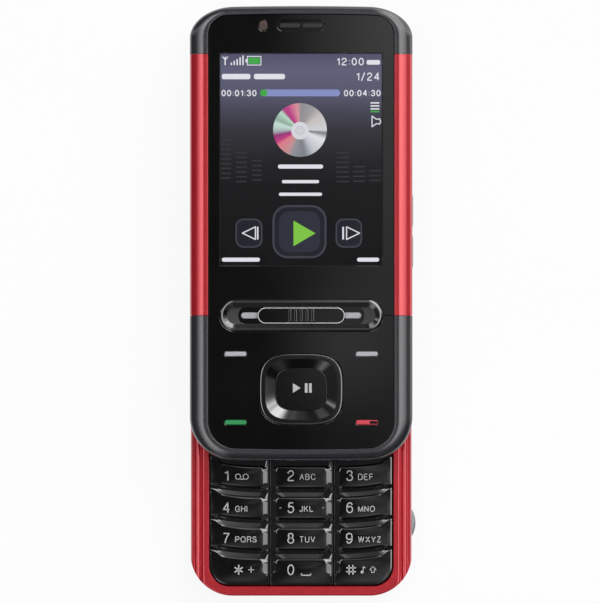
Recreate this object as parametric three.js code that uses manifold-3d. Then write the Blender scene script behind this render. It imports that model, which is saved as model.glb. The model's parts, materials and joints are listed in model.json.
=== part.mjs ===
// A slider phone with a music key, standing open: the display half has slid up over the keypad half.
// Millimetres. X runs across the phone, Y from the keypad end to the display end, Z out of the display.
// The origin is the middle of the keypad half's back face, on the surface that the phone lies on.
// The keypad half is the base. The display half is the slider, drawn where it lies when the phone
// is closed, inside a group that is shifted open.
import * as THREE from 'three';
import { mergeVertices } from 'three/addons/utils/BufferGeometryUtils.js';
import Module from 'manifold-3d';

const wasm = await Module();
wasm.setup();

// Driving sizes of the whole phone
const bodyWidth = 48.2;
const bodyLength = 98.5;
const baseThickness = 9.2;
const sliderThickness = 7.5;
const halvesGap = 0.3;
const shellWall = 1.4;
const seam = 0.1;
const fit = 0.15;
const overrun = 2;

// Corners and bowed ends of the plan outline
const topCornerWidth = 9.5;
const topCornerLength = 6.6;
const bottomCornerWidth = 9.2;
const bottomCornerLength = 9.2;
const endBow = 0.4;
const capLength = 10.45;

// The charcoal and red rim round the black face
const rimSide = 3.95;
const rimTop = 1.75;
const rimBottom = 2.55;
const faceTopCorner = 4.2;
const faceBottomCorner = 5.6;
const faceDrop = 0.25;
const faceThickness = 1;
const faceSeamShare = 0.6802;

// Keypad
const bottomBand = 2.1;
const frameShoulder = 4.06;
const keypadCorner = 4.4;
const centreColumnShare = 0.3478;
const keyPitchShare = 0.06802;
const bottomRowExtra = 0.5;
const rowRise = 1.3;
const rowRisePower = 2.5;
const keyGap = 0.4;
const keyTravel = 0.3;
const keyCrestDrop = 0.15;
const keyPadHeight = 0.45;
const keyPlate = 1.12;
const matThickness = 0.35;
const domeHeight = 0.2;
const boardThickness = 0.7;

// Back cover, battery and rear shell
const coverSkin = 0.9;
const coverWrap = 2.1;
const coverEndFromTop = 30.25;
const backEdgeWidth = 2.3;
const backEdgeHeight = 3.3;
const batterySideMargin = 7.1;
const batteryBottomMargin = 18.25;
const batteryTopMargin = 6;
const batteryFit = 0.25;

// Slide mechanism
const plateSteel = 0.35;
const railFromSide = 7.7;
const railFlange = 1.25;
const railRise = 1.25;
const railRun = 0.2;
const railEndGap = 0.8;
const railStartGap = 3.43;
const carrierStop = 0.5;
const travelExtra = 0.1;

// Heights in the base, counted down from its top
const keyCrest = baseThickness - keyCrestDrop;
const keyLedge = keyCrest - keyPadHeight;
const keyUnderside = keyLedge - keyPlate;
const matTop = keyUnderside - keyTravel - fit;
const matUnderside = matTop - matThickness;
const boardTop = matUnderside - domeHeight - fit;
const boardUnderside = boardTop - boardThickness;
const frameUnderside = backEdgeHeight + seam;
const deckTop = baseThickness - seam;
const deckThickness = 1.6;
const deckUnderside = deckTop - deckThickness;
const flangeThickness = 1.8;
const flangeUnderside = baseThickness - flangeThickness;

// Heights in the slider
const sliderUnderside = baseThickness + halvesGap;
const sliderTop = sliderUnderside + sliderThickness;
const faceTop = sliderTop - faceDrop;
const faceUnderside = faceTop - faceThickness;
const rimLip = faceUnderside - seam;
const frameTop = rimLip - seam;
const railTop = sliderUnderside + railRise;
const carrierUnderside = railTop + railRun;
const carrierTop = carrierUnderside + plateSteel;
const pocketTop = carrierTop + seam;
const floorThickness = 0.65;
const floorTop = pocketTop + floorThickness;
const displayThickness = 2.4;
const displayTop = faceUnderside - 2 * seam;
const displayUnderside = displayTop - displayThickness;
const ledgeTop = displayUnderside - seam;
const sliderBoardTop = displayUnderside + boardThickness;
const sliderDomeTop = sliderBoardTop + domeHeight;

// Places along Y, in the closed phone
const endY = bodyLength / 2;
const capSeamY = endY - capLength;
const faceSeamY = endY - bodyLength * faceSeamShare;
const keypadBottomY = -endY + bottomBand;
const coverEndY = endY - coverEndFromTop;
const keyPitch = bodyLength * keyPitchShare;
const bottomRowHeight = keyPitch + bottomRowExtra;
const keypadTopY = keypadBottomY + bottomRowHeight + 3 * keyPitch;
const slideTravel = keypadTopY + endY + travelExtra;
const deckEdgeY = keypadTopY + rowRise + seam;

// Places across the phone
const keypadHalfWidth = bodyWidth / 2 - frameShoulder;
const centreColumnHalf = keypadHalfWidth * centreColumnShare;
const railHalf = bodyWidth / 2 - railFromSide;
const railStart = deckEdgeY + railStartGap;
const railEnd = capSeamY - railEndGap;
const carrierStart = railStart + carrierStop;
const carrierLength = railEnd - railStart - slideTravel - 2 * carrierStop;

// Fineness of round stretches
const cornerSteps = 6;
const endSteps = 4;
const roundSides = 16;
const domeSides = 12;
const stemSides = 8;
const mergeDistance = 0.0001;

// Colours and finishes
const finish = (color, roughness, metalness) =>
  new THREE.MeshStandardMaterial({ color, roughness, metalness });
const redMetal = finish(0xb4161f, 0.35, 0.55);
const charcoal = finish(0x3a3a40, 0.6, 0.1);
const backBlack = finish(0x232327, 0.65, 0);
const glossBlack = finish(0x0b0b0c, 0.12, 0);
const keyBlack = finish(0x18181a, 0.25, 0);
const clearPane = finish(0x9fa6b4, 0.05, 0);
const screenGlass = finish(0x2a2b38, 0.2, 0);
const steel = finish(0xa8abb0, 0.35, 0.9);
const innerPlastic = finish(0x2c2d30, 0.6, 0);
const boardGreen = finish(0x1f5a3a, 0.6, 0.1);
const rubber = finish(0x3b3b3d, 0.8, 0);
const litWhite = finish(0xe6e6ea, 0.4, 0);
const callGreen = finish(0x17935a, 0.4, 0);
const endRed = finish(0xd8404f, 0.4, 0);
const silver = finish(0xb9b9bb, 0.3, 0.7);
const batteryGrey = finish(0x8b8e93, 0.45, 0.1);
const copper = finish(0xb87444, 0.35, 0.9);
const sensorBrown = finish(0x5a4436, 0.3, 0);

// A closed body from its points and triangles, whichever way round these are.
function solidFromArrays(positions, triangles) {
  const mesh = (order) =>
    new wasm.Manifold(
      new wasm.Mesh({
        numProp: 3,
        vertProperties: new Float32Array(positions),
        triVerts: new Uint32Array(order),
      }),
    );
  const made = mesh(triangles);
  if (made.volume() > 0) return made;
  const turned = [];
  for (let i = 0; i < triangles.length; i += 3) {
    turned.push(triangles[i], triangles[i + 2], triangles[i + 1]);
  }
  return mesh(turned);
}

function solidOf(geometry) {
  const bare = geometry.index ? geometry.toNonIndexed() : geometry.clone();
  bare.deleteAttribute('normal');
  bare.deleteAttribute('uv');
  const shared = mergeVertices(bare, mergeDistance);
  return solidFromArrays(shared.attributes.position.array, shared.index.array);
}

function geometryOf(solid) {
  const mesh = solid.getMesh();
  const positions = new Float32Array(mesh.numVert * 3);
  for (let i = 0; i < mesh.numVert; i++) {
    positions.set(mesh.vertProperties.subarray(i * mesh.numProp, i * mesh.numProp + 3), i * 3);
  }
  const geometry = new THREE.BufferGeometry();
  geometry.setAttribute('position', new THREE.BufferAttribute(positions, 3));
  geometry.setIndex(new THREE.BufferAttribute(new Uint32Array(mesh.triVerts), 1));
  geometry.computeVertexNormals();
  return geometry;
}

const cut = (solid, ...tools) => tools.reduce((left, tool) => left.subtract(tool), solid);
const join = (...solids) => solids.reduce((all, solid) => all.add(solid));

function box([x0, x1], [y0, y1], [z0, z1]) {
  const geometry = new THREE.BoxGeometry(x1 - x0, y1 - y0, z1 - z0);
  geometry.translate((x0 + x1) / 2, (y0 + y1) / 2, (z0 + z1) / 2);
  return solidOf(geometry);
}

const around = (centre, size) => [centre - size / 2, centre + size / 2];

function prism(points, [z0, z1]) {
  const geometry = new THREE.ExtrudeGeometry(new THREE.Shape(points), {
    depth: z1 - z0,
    bevelEnabled: false,
    curveSegments: cornerSteps,
  });
  geometry.translate(0, 0, z0);
  return solidOf(geometry);
}

// An outline of (x, z) points drawn along Y.
function barAlongY(points, [y0, y1]) {
  const geometry = new THREE.ExtrudeGeometry(
    new THREE.Shape(points.map(([x, z]) => new THREE.Vector2(x, -z))),
    { depth: y1 - y0, bevelEnabled: false },
  );
  geometry.rotateX(-Math.PI / 2);
  geometry.translate(0, y0, 0);
  return solidOf(geometry);
}

// An outline of (y, z) points drawn along X.
function barAlongX(points, [x0, x1]) {
  const geometry = new THREE.ExtrudeGeometry(
    new THREE.Shape(points.map(([y, z]) => new THREE.Vector2(y, z))),
    { depth: x1 - x0, bevelEnabled: false },
  );
  geometry.rotateX(Math.PI / 2);
  geometry.rotateZ(Math.PI / 2);
  geometry.translate(x0, 0, 0);
  return solidOf(geometry);
}

function rod(axis, radius, [from, to], [a, b], sides = roundSides) {
  const geometry = new THREE.CylinderGeometry(radius, radius, to - from, sides);
  const middle = (from + to) / 2;
  if (axis === 'x') geometry.rotateZ(Math.PI / 2).translate(middle, a, b);
  if (axis === 'y') geometry.translate(a, middle, b);
  if (axis === 'z') geometry.rotateX(Math.PI / 2).translate(a, b, middle);
  return solidOf(geometry);
}

// A closed body through level rings of the same number of points, from the lowest up.
function loft(rings) {
  const count = rings[0].points.length;
  const positions = rings.flatMap(({ points, z }) => points.flatMap((p) => [p.x, p.y, z]));
  const triangles = [];
  for (let r = 0; r + 1 < rings.length; r++) {
    for (let i = 0; i < count; i++) {
      const next = (i + 1) % count;
      const low = r * count;
      const high = low + count;
      triangles.push(low + i, low + next, high + next, low + i, high + next, high + i);
    }
  }
  const last = (rings.length - 1) * count;
  for (const [a, b, c] of THREE.ShapeUtils.triangulateShape(rings[0].points, [])) {
    triangles.push(c, b, a);
  }
  for (const [a, b, c] of THREE.ShapeUtils.triangulateShape(rings.at(-1).points, [])) {
    triangles.push(last + a, last + b, last + c);
  }
  return solidFromArrays(positions, triangles);
}

// A closed band between an outer and an inner outline. Each profile point is a share of the way
// in from the outer outline, and a height.
function band(outer, inner, profile) {
  const count = outer.length;
  const positions = profile.flatMap(([share, z]) =>
    outer.flatMap((p, i) => {
      const at = p.clone().lerp(inner[i], share);
      return [at.x, at.y, z];
    }),
  );
  const triangles = [];
  for (let r = 0; r < profile.length; r++) {
    const low = r * count;
    const high = ((r + 1) % profile.length) * count;
    for (let i = 0; i < count; i++) {
      const next = (i + 1) % count;
      triangles.push(low + i, low + next, high + next, low + i, high + next, high + i);
    }
  }
  return solidFromArrays(positions, triangles);
}

// A case outline, anticlockwise: straight sides, elliptical corners and slightly bowed ends.
function caseOutline(size) {
  const points = [];
  const bowed = (x, y, endSign) =>
    new THREE.Vector2(x, y - endSign * size.bow * (x / size.halfWidth) ** 2);
  const addCorner = (sideSign, endSign, [width, length], end, from) => {
    for (let i = 0; i <= cornerSteps; i++) {
      const angle = from + ((i / cornerSteps) * Math.PI) / 2;
      const x = sideSign * (size.halfWidth - width) + width * Math.cos(angle);
      points.push(bowed(x, end - endSign * length + length * Math.sin(angle), endSign));
    }
  };
  const addEnd = (endSign, [width], end, direction) => {
    const reach = size.halfWidth - width;
    for (let i = 1; i < endSteps; i++) {
      points.push(bowed(direction * reach * ((2 * i) / endSteps - 1), end, endSign));
    }
  };
  addCorner(1, -1, size.bottomCorner, size.bottom, -Math.PI / 2);
  addCorner(1, 1, size.topCorner, size.top, 0);
  addEnd(1, size.topCorner, size.top, -1);
  addCorner(-1, 1, size.topCorner, size.top, Math.PI / 2);
  addCorner(-1, -1, size.bottomCorner, size.bottom, Math.PI);
  addEnd(-1, size.bottomCorner, size.bottom, 1);
  return points;
}

const inset = (size, distance) => ({
  halfWidth: size.halfWidth - distance,
  top: size.top - distance,
  bottom: size.bottom + distance,
  topCorner: size.topCorner.map((radius) => Math.max(radius - distance, seam)),
  bottomCorner: size.bottomCorner.map((radius) => Math.max(radius - distance, seam)),
  bow: size.bow,
});

const casePlan = {
  halfWidth: bodyWidth / 2,
  top: endY,
  bottom: -endY,
  topCorner: [topCornerWidth, topCornerLength],
  bottomCorner: [bottomCornerWidth, bottomCornerLength],
  bow: endBow,
};
const basePlan = { ...casePlan, bow: 0 };
const facePlan = {
  halfWidth: bodyWidth / 2 - rimSide,
  top: endY - rimTop,
  bottom: -endY + rimBottom,
  topCorner: [faceTopCorner, faceTopCorner],
  bottomCorner: [faceBottomCorner, faceBottomCorner],
  bow: endBow,
};
const keypadPlan = {
  halfWidth: keypadHalfWidth,
  top: 0,
  bottom: keypadBottomY,
  topCorner: [seam, seam],
  bottomCorner: [keypadCorner, keypadCorner],
  bow: 0,
};

function roundedRectangle([x0, x1], [y0, y1], radius, steps = cornerSteps / 2) {
  const points = [];
  const corners = [
    [x1 - radius, y0 + radius, -Math.PI / 2],
    [x1 - radius, y1 - radius, 0],
    [x0 + radius, y1 - radius, Math.PI / 2],
    [x0 + radius, y0 + radius, Math.PI],
  ];
  for (const [x, y, from] of corners) {
    for (let i = 0; i <= steps; i++) {
      const angle = from + ((i / steps) * Math.PI) / 2;
      points.push(
        new THREE.Vector2(x + radius * Math.cos(angle), y + radius * Math.sin(angle)),
      );
    }
  }
  return points;
}

const stadium = ([x, y], width, height) =>
  roundedRectangle(around(x, width), around(y, height), height / 2 - mergeDistance);

const uprightStadium = ([x, y], width, length) =>
  roundedRectangle(around(x, width), around(y, length), width / 2 - mergeDistance);

// A soft-cornered square like the navigation key, with sides that bulge a little.
const squircleSteps = 28;
const squirclePower = 3.4;
function squircle([x, y], width, length) {
  const points = [];
  for (let i = 0; i < squircleSteps; i++) {
    const angle = ((i + 0.5) / squircleSteps) * 2 * Math.PI;
    const reach = (value) => Math.sign(value) * Math.abs(value) ** (2 / squirclePower);
    points.push(
      new THREE.Vector2(
        x + (width / 2) * reach(Math.cos(angle)),
        y + (length / 2) * reach(Math.sin(angle)),
      ),
    );
  }
  return points;
}

const phone = new THREE.Group();
const slider = new THREE.Group();
slider.position.y = slideTravel;
phone.add(slider);

function place(group, name, solid, material) {
  const mesh = new THREE.Mesh(geometryOf(solid), material);
  mesh.name = name;
  group.add(mesh);
}

const wholeWidth = around(0, bodyWidth + 2 * overrun);
const cavityPlan = inset(basePlan, shellWall);

// Side controls and the port, all in the red frame's side walls
const sideZ = (frameUnderside + flangeUnderside) / 2;
const wallInside = bodyWidth / 2 - shellWall;
const rockerFromTop = 19.15;
const rockerLength = 16.4;
const rockerHeight = 2.2;
const rockerProud = 0.3;
const rockerY = endY - rockerFromTop;
const shutterFromBottom = 15.75;
const shutterLength = 5.6;
const shutterHeight = 2.6;
const shutterProud = 0.85;
const shutterY = -endY + shutterFromBottom;
const doorLength = 10.6;
const doorHeight = 3;
const doorThickness = 0.8;
const screwFromSide = 4.2;
const screwFromDeck = 4.53;
const screwX = bodyWidth / 2 - screwFromSide;
const screwY = deckEdgeY + screwFromDeck;
const screwRadius = 0.75;
const screwHeadRadius = 1.3;
const screwHeadHeight = 0.6;
const screwHeadZ = coverSkin + 2 * fit;
const bossRadius = 1.6;

// Two round ribs run down each shoulder of the red frame, above a side that rolls off.
const ribDepth = 0.5;
const ribs = [
  { fromSide: 3, half: 0.62, height: ribDepth },
  { fromSide: 1.6, half: 0.72, height: 0.28 },
];
const ribSteps = 3;
const sideRollWidth = 0.5;
const sideRollHeight = 1.8;
const sideRollSteps = 4;

function shoulderPoints() {
  const valleyZ = baseThickness - ribDepth;
  const points = [];
  ribs.forEach(({ fromSide, half, height }, index) => {
    for (let i = index ? -ribSteps : 0; i <= ribSteps; i++) {
      const angle = ((i / ribSteps) * Math.PI) / 2;
      points.push([
        bodyWidth / 2 - fromSide + half * Math.sin(angle),
        valleyZ + height * Math.cos(angle),
      ]);
    }
  });
  for (let i = 0; i <= sideRollSteps; i++) {
    const angle = ((i / sideRollSteps) * Math.PI) / 2;
    points.push([
      bodyWidth / 2 - sideRollWidth * (1 - Math.sin(angle)),
      valleyZ - sideRollHeight * (1 - Math.cos(angle)),
    ]);
  }
  return points;
}

function addBaseFrame() {
  const edgeRound = 0.35;
  const right = shoulderPoints();
  const section = [
    [bodyWidth / 2, frameUnderside],
    [-bodyWidth / 2, frameUnderside],
    ...right.map(([x, z]) => [-x, z]).reverse(),
    ...right,
  ].reverse();
  const ribbed = barAlongY(section, [-endY - overrun, capSeamY - seam / 2]);
  const block = loft([
    { points: caseOutline(basePlan), z: frameUnderside },
    { points: caseOutline(basePlan), z: baseThickness - edgeRound },
    { points: caseOutline(inset(basePlan, edgeRound)), z: baseThickness },
  ]);
  const bosses = [-screwX, screwX].map((x) =>
    rod('z', bossRadius, [frameUnderside, flangeUnderside + seam], [x, screwY]),
  );
  const cavity = prism(caseOutline(cavityPlan), [frameUnderside - overrun, flangeUnderside]);
  const well = prism(
    caseOutline({ ...keypadPlan, top: endY + overrun }),
    [flangeUnderside - seam, baseThickness + overrun],
  );
  const rockerHole = box(
    [wallInside - overrun, bodyWidth / 2 + overrun],
    around(rockerY, rockerLength + 2 * fit),
    around(sideZ, rockerHeight + 2 * fit),
  );
  const shutterHole = box(
    [wallInside - overrun, bodyWidth / 2 + overrun],
    around(shutterY, shutterLength + 2 * fit),
    around(sideZ, shutterHeight + 2 * fit),
  );
  const doorHole = box(
    [-bodyWidth / 2 - overrun, -wallInside + overrun],
    around(0, doorLength + 3 * fit),
    around(sideZ, doorHeight + 2 * fit),
  );
  const screwHoles = [-screwX, screwX].map((x) =>
    rod('z', screwRadius + fit / 2, [0, flangeUnderside - shellWall], [x, screwY]),
  );
  const hollow = cut(ribbed.intersect(block), cavity);
  const sideHoles = [rockerHole, shutterHole, doorHole];
  const frame = cut(join(hollow, ...bosses), well, ...sideHoles, ...screwHoles);
  place(phone, 'base_frame', frame, redMetal);
}

// The connector block stands behind two round holes in the end cap.
const headsetX = 9.5;
const chargerX = 2.5;
const headsetNose = 1.85;
const chargerNose = 1.6;
const connectorZ = sideZ;

function addEndCap() {
  const roundSteps = 3;
  const roundWidth = 1.9;
  const roundHeight = 2.1;
  const rings = [{ points: caseOutline(basePlan), z: frameUnderside }];
  for (let i = 0; i <= roundSteps; i++) {
    const angle = ((i / roundSteps) * Math.PI) / 2;
    rings.push({
      points: caseOutline(inset(basePlan, roundWidth * (1 - Math.cos(angle)))),
      z: deckTop - roundHeight * (1 - Math.sin(angle)),
    });
  }
  const capY = [capSeamY + seam / 2, endY + overrun];
  const cap = loft(rings).intersect(box(wholeWidth, capY, [0, baseThickness + overrun]));
  const cavity = prism(caseOutline(cavityPlan), [0, flangeUnderside]);
  const holes = [
    rod('y', headsetNose + seam, [endY - overrun, endY + overrun], [headsetX, connectorZ]),
    rod('y', chargerNose + seam, [endY - overrun, endY + overrun], [chargerX, connectorZ]),
  ];
  place(phone, 'base_end_cap', cut(cap, cavity, ...holes), charcoal);
}

// The rounded back of the base, with its lower edges drawn in.
function backRings(extra) {
  const steps = 4;
  return Array.from({ length: steps + 1 }, (_, i) => {
    const angle = ((i / steps) * Math.PI) / 2;
    return {
      points: caseOutline(inset(basePlan, backEdgeWidth * (1 - Math.sin(angle)) + extra)),
      z: backEdgeHeight * (1 - Math.cos(angle)) + extra,
    };
  });
}

const batteryX = around(0, bodyWidth - 2 * batterySideMargin);
const batteryY = [-endY + batteryBottomMargin, coverEndY - batteryTopMargin];
const batteryZ = [coverSkin + batteryFit, boardUnderside - batteryFit];
const speakerWidth = 15;
const speakerLength = 9.4;
const speakerY = coverEndY + shellWall + speakerLength / 2;
const cameraFromTop = 13.25;
const cameraY = endY - cameraFromTop;
const cameraWidth = 9;
const cameraPanelWidth = 24;
const cameraPanelLength = 10;
const cameraPanelThickness = 0.8;
const cameraNose = 3;
const backFloor = 1.2;
const bayWall = 0.8;
const motorRadius = 1.8;
const motorLength = 4.4;
const weightLength = 2.4;
const weightFromSide = 4.3;
const weightX = bodyWidth / 2 - weightFromSide - weightLength;
const motorX = weightX - 2 * fit - motorLength;
const simWidth = 2 * (motorX - bayWall);
const simLength = 11.5;
const simY = batteryY[0] - bayWall - batteryFit - shellWall - simLength / 2;

function addRearShell() {
  const coverGap = coverSkin + fit;
  const shellWidth = bodyWidth / 2 - shellWall - backEdgeWidth / 2;
  const cavityBottomY = -endY + shellWall + backEdgeWidth / 2;
  const innerFloor = coverGap + shellWall / 2;
  const outer = loft(backRings(0));
  const inner = loft([
    ...backRings(coverGap).filter(({ z }) => z < backEdgeHeight - seam),
    { points: caseOutline(inset(basePlan, coverGap)), z: backEdgeHeight },
  ]);
  const upper = outer.intersect(box(wholeWidth, [coverEndY, endY], [0, backEdgeHeight]));
  const above = outer.intersect(
    box(wholeWidth, [-endY, coverEndY + seam], [coverWrap + seam, backEdgeHeight]),
  );
  const lower = inner.intersect(box(wholeWidth, [-endY, coverEndY + seam], [0, backEdgeHeight]));
  const lowerHollow = prism(
    caseOutline({
      ...inset(basePlan, shellWall + backEdgeWidth / 2),
      halfWidth: shellWidth,
      bottom: cavityBottomY,
      top: coverEndY - shellWall,
    }),
    [innerFloor, backEdgeHeight + overrun],
  );
  const upperHollow = prism(
    caseOutline({
      ...inset(basePlan, shellWall + backEdgeWidth / 2),
      bottom: coverEndY + shellWall / 2,
      bottomCorner: [seam, seam],
    }),
    [backFloor, backEdgeHeight + overrun],
  );
  const baySize = batteryFit + bayWall;
  const bayOuter = box(
    [batteryX[0] - baySize, batteryX[1] + baySize],
    [batteryY[0] - baySize, batteryY[1] + baySize],
    [coverGap, boardUnderside - seam],
  );
  const bay = box(
    [batteryX[0] - batteryFit, batteryX[1] + batteryFit],
    [batteryY[0] - batteryFit, batteryY[1] + batteryFit],
    [-overrun, boardUnderside + overrun],
  );
  const simWindow = prism(
    roundedRectangle(around(0, simWidth - shellWall), around(simY, simLength - shellWall), bayWall),
    [0, innerFloor + overrun],
  );
  const bosses = [-screwX, screwX].map((x) =>
    rod('z', bossRadius, [coverGap, backEdgeHeight], [x, screwY]).intersect(inner),
  );
  const screwHoles = [-screwX, screwX].flatMap((x) => [
    rod('z', screwRadius + fit, [0, backEdgeHeight + overrun], [x, screwY]),
    rod('z', screwHeadRadius + seam, [0, screwHeadZ + screwHeadHeight + seam], [x, screwY]),
  ]);
  const slotCount = 5;
  const slotPitch = 1.4;
  const slotHeight = 0.7;
  const slotWidth = 9;
  const slots = Array.from({ length: slotCount }, (_, i) => {
    const y = speakerY + (i - (slotCount - 1) / 2) * slotPitch;
    return prism(stadium([0, y], slotWidth, slotHeight), [-overrun, backFloor + overrun]);
  });
  const panelRecess = prism(
    roundedRectangle(
      around(0, cameraPanelWidth + 2 * seam),
      around(cameraY, cameraPanelLength + 2 * seam),
      cameraPanelLength / 3,
    ),
    [-overrun, cameraPanelThickness + seam],
  );
  const lensHole = rod('z', cameraNose + seam, [0, backFloor + overrun], [0, cameraY]);
  const hollow = cut(join(upper, above, lower), lowerHollow, upperHollow);
  const shell = cut(
    join(hollow, bayOuter, ...bosses),
    bay,
    simWindow,
    panelRecess,
    lensHole,
    ...screwHoles,
    ...slots,
  );
  place(phone, 'rear_shell', shell, backBlack);
}

function addBatteryCover() {
  const outer = loft(backRings(0)).intersect(
    box(wholeWidth, [-endY - overrun, coverEndY - seam], [0, coverWrap]),
  );
  const inner = loft([
    ...backRings(coverSkin).filter(({ z }) => z < backEdgeHeight - seam),
    { points: caseOutline(inset(basePlan, coverSkin)), z: backEdgeHeight },
  ]);
  const gripFromEnd = 4.8;
  const gripWidth = 17;
  const gripLength = 6;
  const gripDepth = 0.3;
  const grip = prism(stadium([0, coverEndY - gripFromEnd], gripWidth, gripLength), [
    -overrun,
    gripDepth,
  ]);
  place(phone, 'battery_cover', cut(outer, inner, grip), charcoal);
}

function addBattery() {
  const corner = 1.2;
  const label = prism(roundedRectangle(batteryX, batteryY, corner), batteryZ);
  const contactPitch = 3;
  const contactSize = 1.6;
  const contactDepth = 0.3;
  const contacts = [-1, 0, 1].map((i) =>
    box(
      around(i * contactPitch, contactSize),
      [batteryY[1] - contactDepth, batteryY[1] + overrun],
      around((batteryZ[0] + batteryZ[1]) / 2, contactSize),
    ),
  );
  place(phone, 'battery', cut(label, ...contacts), batteryGrey);
}

function addHousingScrews() {
  const driveRadius = 0.6;
  const driveDepth = 0.35;
  const driveSides = 6;
  for (const [name, x] of [
    ['housing_screw_left', -screwX],
    ['housing_screw_right', screwX],
  ]) {
    const screw = join(
      rod('z', screwHeadRadius, [screwHeadZ, screwHeadZ + screwHeadHeight], [x, screwY]),
      rod('z', screwRadius, [screwHeadZ, flangeUnderside - shellWall - fit], [x, screwY]),
    );
    const drive = rod('z', driveRadius, [0, screwHeadZ + driveDepth], [x, screwY], driveSides);
    place(phone, name, cut(screw, drive), steel);
  }
}

// The height along Y of the line over a row of keys, which rises towards the sides.
const rowLine = (row, x) => {
  const middle = row > 3 ? keypadBottomY : keypadBottomY + bottomRowHeight + (3 - row) * keyPitch;
  const out = Math.max(Math.abs(x) - centreColumnHalf, 0) / (keypadHalfWidth - centreColumnHalf);
  return row > 3 ? middle : middle + rowRise * out ** rowRisePower;
};
const portWidth = 7.5;
const portHeight = 2.7;
const portDepth = 4.7;
const boardFromSide = 5.9;
const boardHalfWidth = bodyWidth / 2 - boardFromSide;
const boardEndY = cameraY - cameraWidth / 2 - 2 * batteryFit;

function addMainBoard() {
  const domeRadius = 2;
  const simHeight = 1.4;
  const contactWidth = 9;
  const contactLength = 1.6;
  const boardBottomY = keypadBottomY + shellWall / 2;
  const board = box(
    [-boardHalfWidth, boardHalfWidth],
    [boardBottomY, boardEndY],
    [boardUnderside, boardTop],
  );
  const columnX = (centreColumnHalf + keypadHalfWidth) / 2;
  const domes = [0, 1, 2, 3].flatMap((row) =>
    [-columnX, 0, columnX].map((x) =>
      rod('z', domeRadius, [boardTop - seam, boardTop + domeHeight], [
        x,
        (rowLine(row, x) + rowLine(row + 1, x)) / 2,
      ], domeSides),
    ),
  );
  const simReader = box(
    around(0, simWidth),
    around(simY, simLength),
    [boardUnderside - simHeight, boardUnderside],
  );
  const contacts = box(
    around(0, contactWidth),
    [batteryY[1] + batteryFit - contactLength, batteryY[1] + batteryFit - seam],
    [boardUnderside - seam, boardUnderside],
  );
  const socket = box(flexSpan(0), around(flexBaseY, flexSocketLength), [
    boardTop - seam,
    boardTop + flexSocketHeight,
  ]);
  place(phone, 'main_board', join(board, simReader, contacts, socket, ...domes), boardGreen);
}

function addShieldCan() {
  const canFromBoardEdge = 3.2;
  const canX = boardHalfWidth - canFromBoardEdge;
  const canY = [deckEdgeY + shellWall, flexBaseY - shellWall];
  const canHeight = deckUnderside - boardTop - 2 * fit;
  const can = box([-canX, canX], canY, [
    boardTop + fit / 2,
    boardTop + fit / 2 + canHeight,
  ]);
  const skin = 0.25;
  const inside = box(
    [-canX + skin, canX - skin],
    [canY[0] + skin, canY[1] - skin],
    [boardTop - overrun, boardTop + fit / 2 + canHeight - skin],
  );
  place(phone, 'shield_can', cut(can, inside), steel);
}

function addKeypadMat() {
  const mat = prism(
    caseOutline({ ...inset(keypadPlan, fit), top: deckEdgeY - fit }),
    [matUnderside, matTop],
  );
  place(phone, 'keypad_mat', mat, rubber);
}

function addDeck() {
  const deck = box(
    [-keypadHalfWidth + fit, keypadHalfWidth - fit],
    [deckEdgeY, capSeamY - seam],
    [deckUnderside, deckTop],
  );
  const recess = box(
    [-railHalf - seam, railHalf + seam],
    [railStart - seam, capSeamY + overrun],
    [deckTop - plateSteel - seam, deckTop + overrun],
  );
  const flexSlot = box(flexSpan(seam), flexBaseSlot, [0, baseThickness + overrun]);
  place(phone, 'deck_plate', cut(deck, recess, flexSlot), innerPlastic);
}

// The flat cable lies to the right of the middle, and the assist spring to the left.
const flexNear = 2.5;
const flexWidth = 9;
const flexThickness = 0.15;
const flexPastCarrier = 2;
const flexInCarrier = 2.5;
const flexSpare = 0.5;
const flexBaseY = carrierStart + carrierLength + flexPastCarrier;
const flexSliderY = carrierStart + flexInCarrier;
const flexLoop = slideTravel + flexSpare;
const flexSlotLength = 0.9;
const flexSocketLength = 2.2;
const flexSocketHeight = 0.5;
const flexSpan = (extra) => [flexNear - extra, flexNear + flexWidth + extra];
const flexBaseSlot = around(flexBaseY, flexSlotLength);
const flexSliderSlot = around(flexSliderY, flexSlotLength);
const springInCarrier = 4.75;
const springFromRail = 4.9;
const springFromFlex = 5;
const springSlider = [flexNear - springFromFlex, carrierStart + springInCarrier];
const springBase = [-(railHalf - springFromRail), springSlider[1] + slideTravel / 2];
const pinRadius = 0.5;
const wireRadius = 0.25;
const pinShort = 0.35;

function addRailPlate() {
  const plateUnderside = deckTop - plateSteel;
  const profile = (sign) =>
    [
      [railHalf, plateUnderside],
      [railHalf, railTop - plateSteel],
      [railHalf + railFlange, railTop - plateSteel],
      [railHalf + railFlange, railTop],
      [railHalf - plateSteel, railTop],
      [railHalf - plateSteel, deckTop],
    ].map(([x, z]) => [sign * x, z]);
  const section = [...profile(1), ...profile(-1).reverse()];
  const plate = barAlongY(section, [railStart, railEnd]);
  const pin = rod('z', pinRadius, [plateUnderside, carrierUnderside - pinShort], springBase);
  const flexSlot = box(flexSpan(seam), flexBaseSlot, [0, railTop]);
  place(phone, 'slide_rail_plate', cut(join(plate, pin), flexSlot), steel);
}

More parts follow.
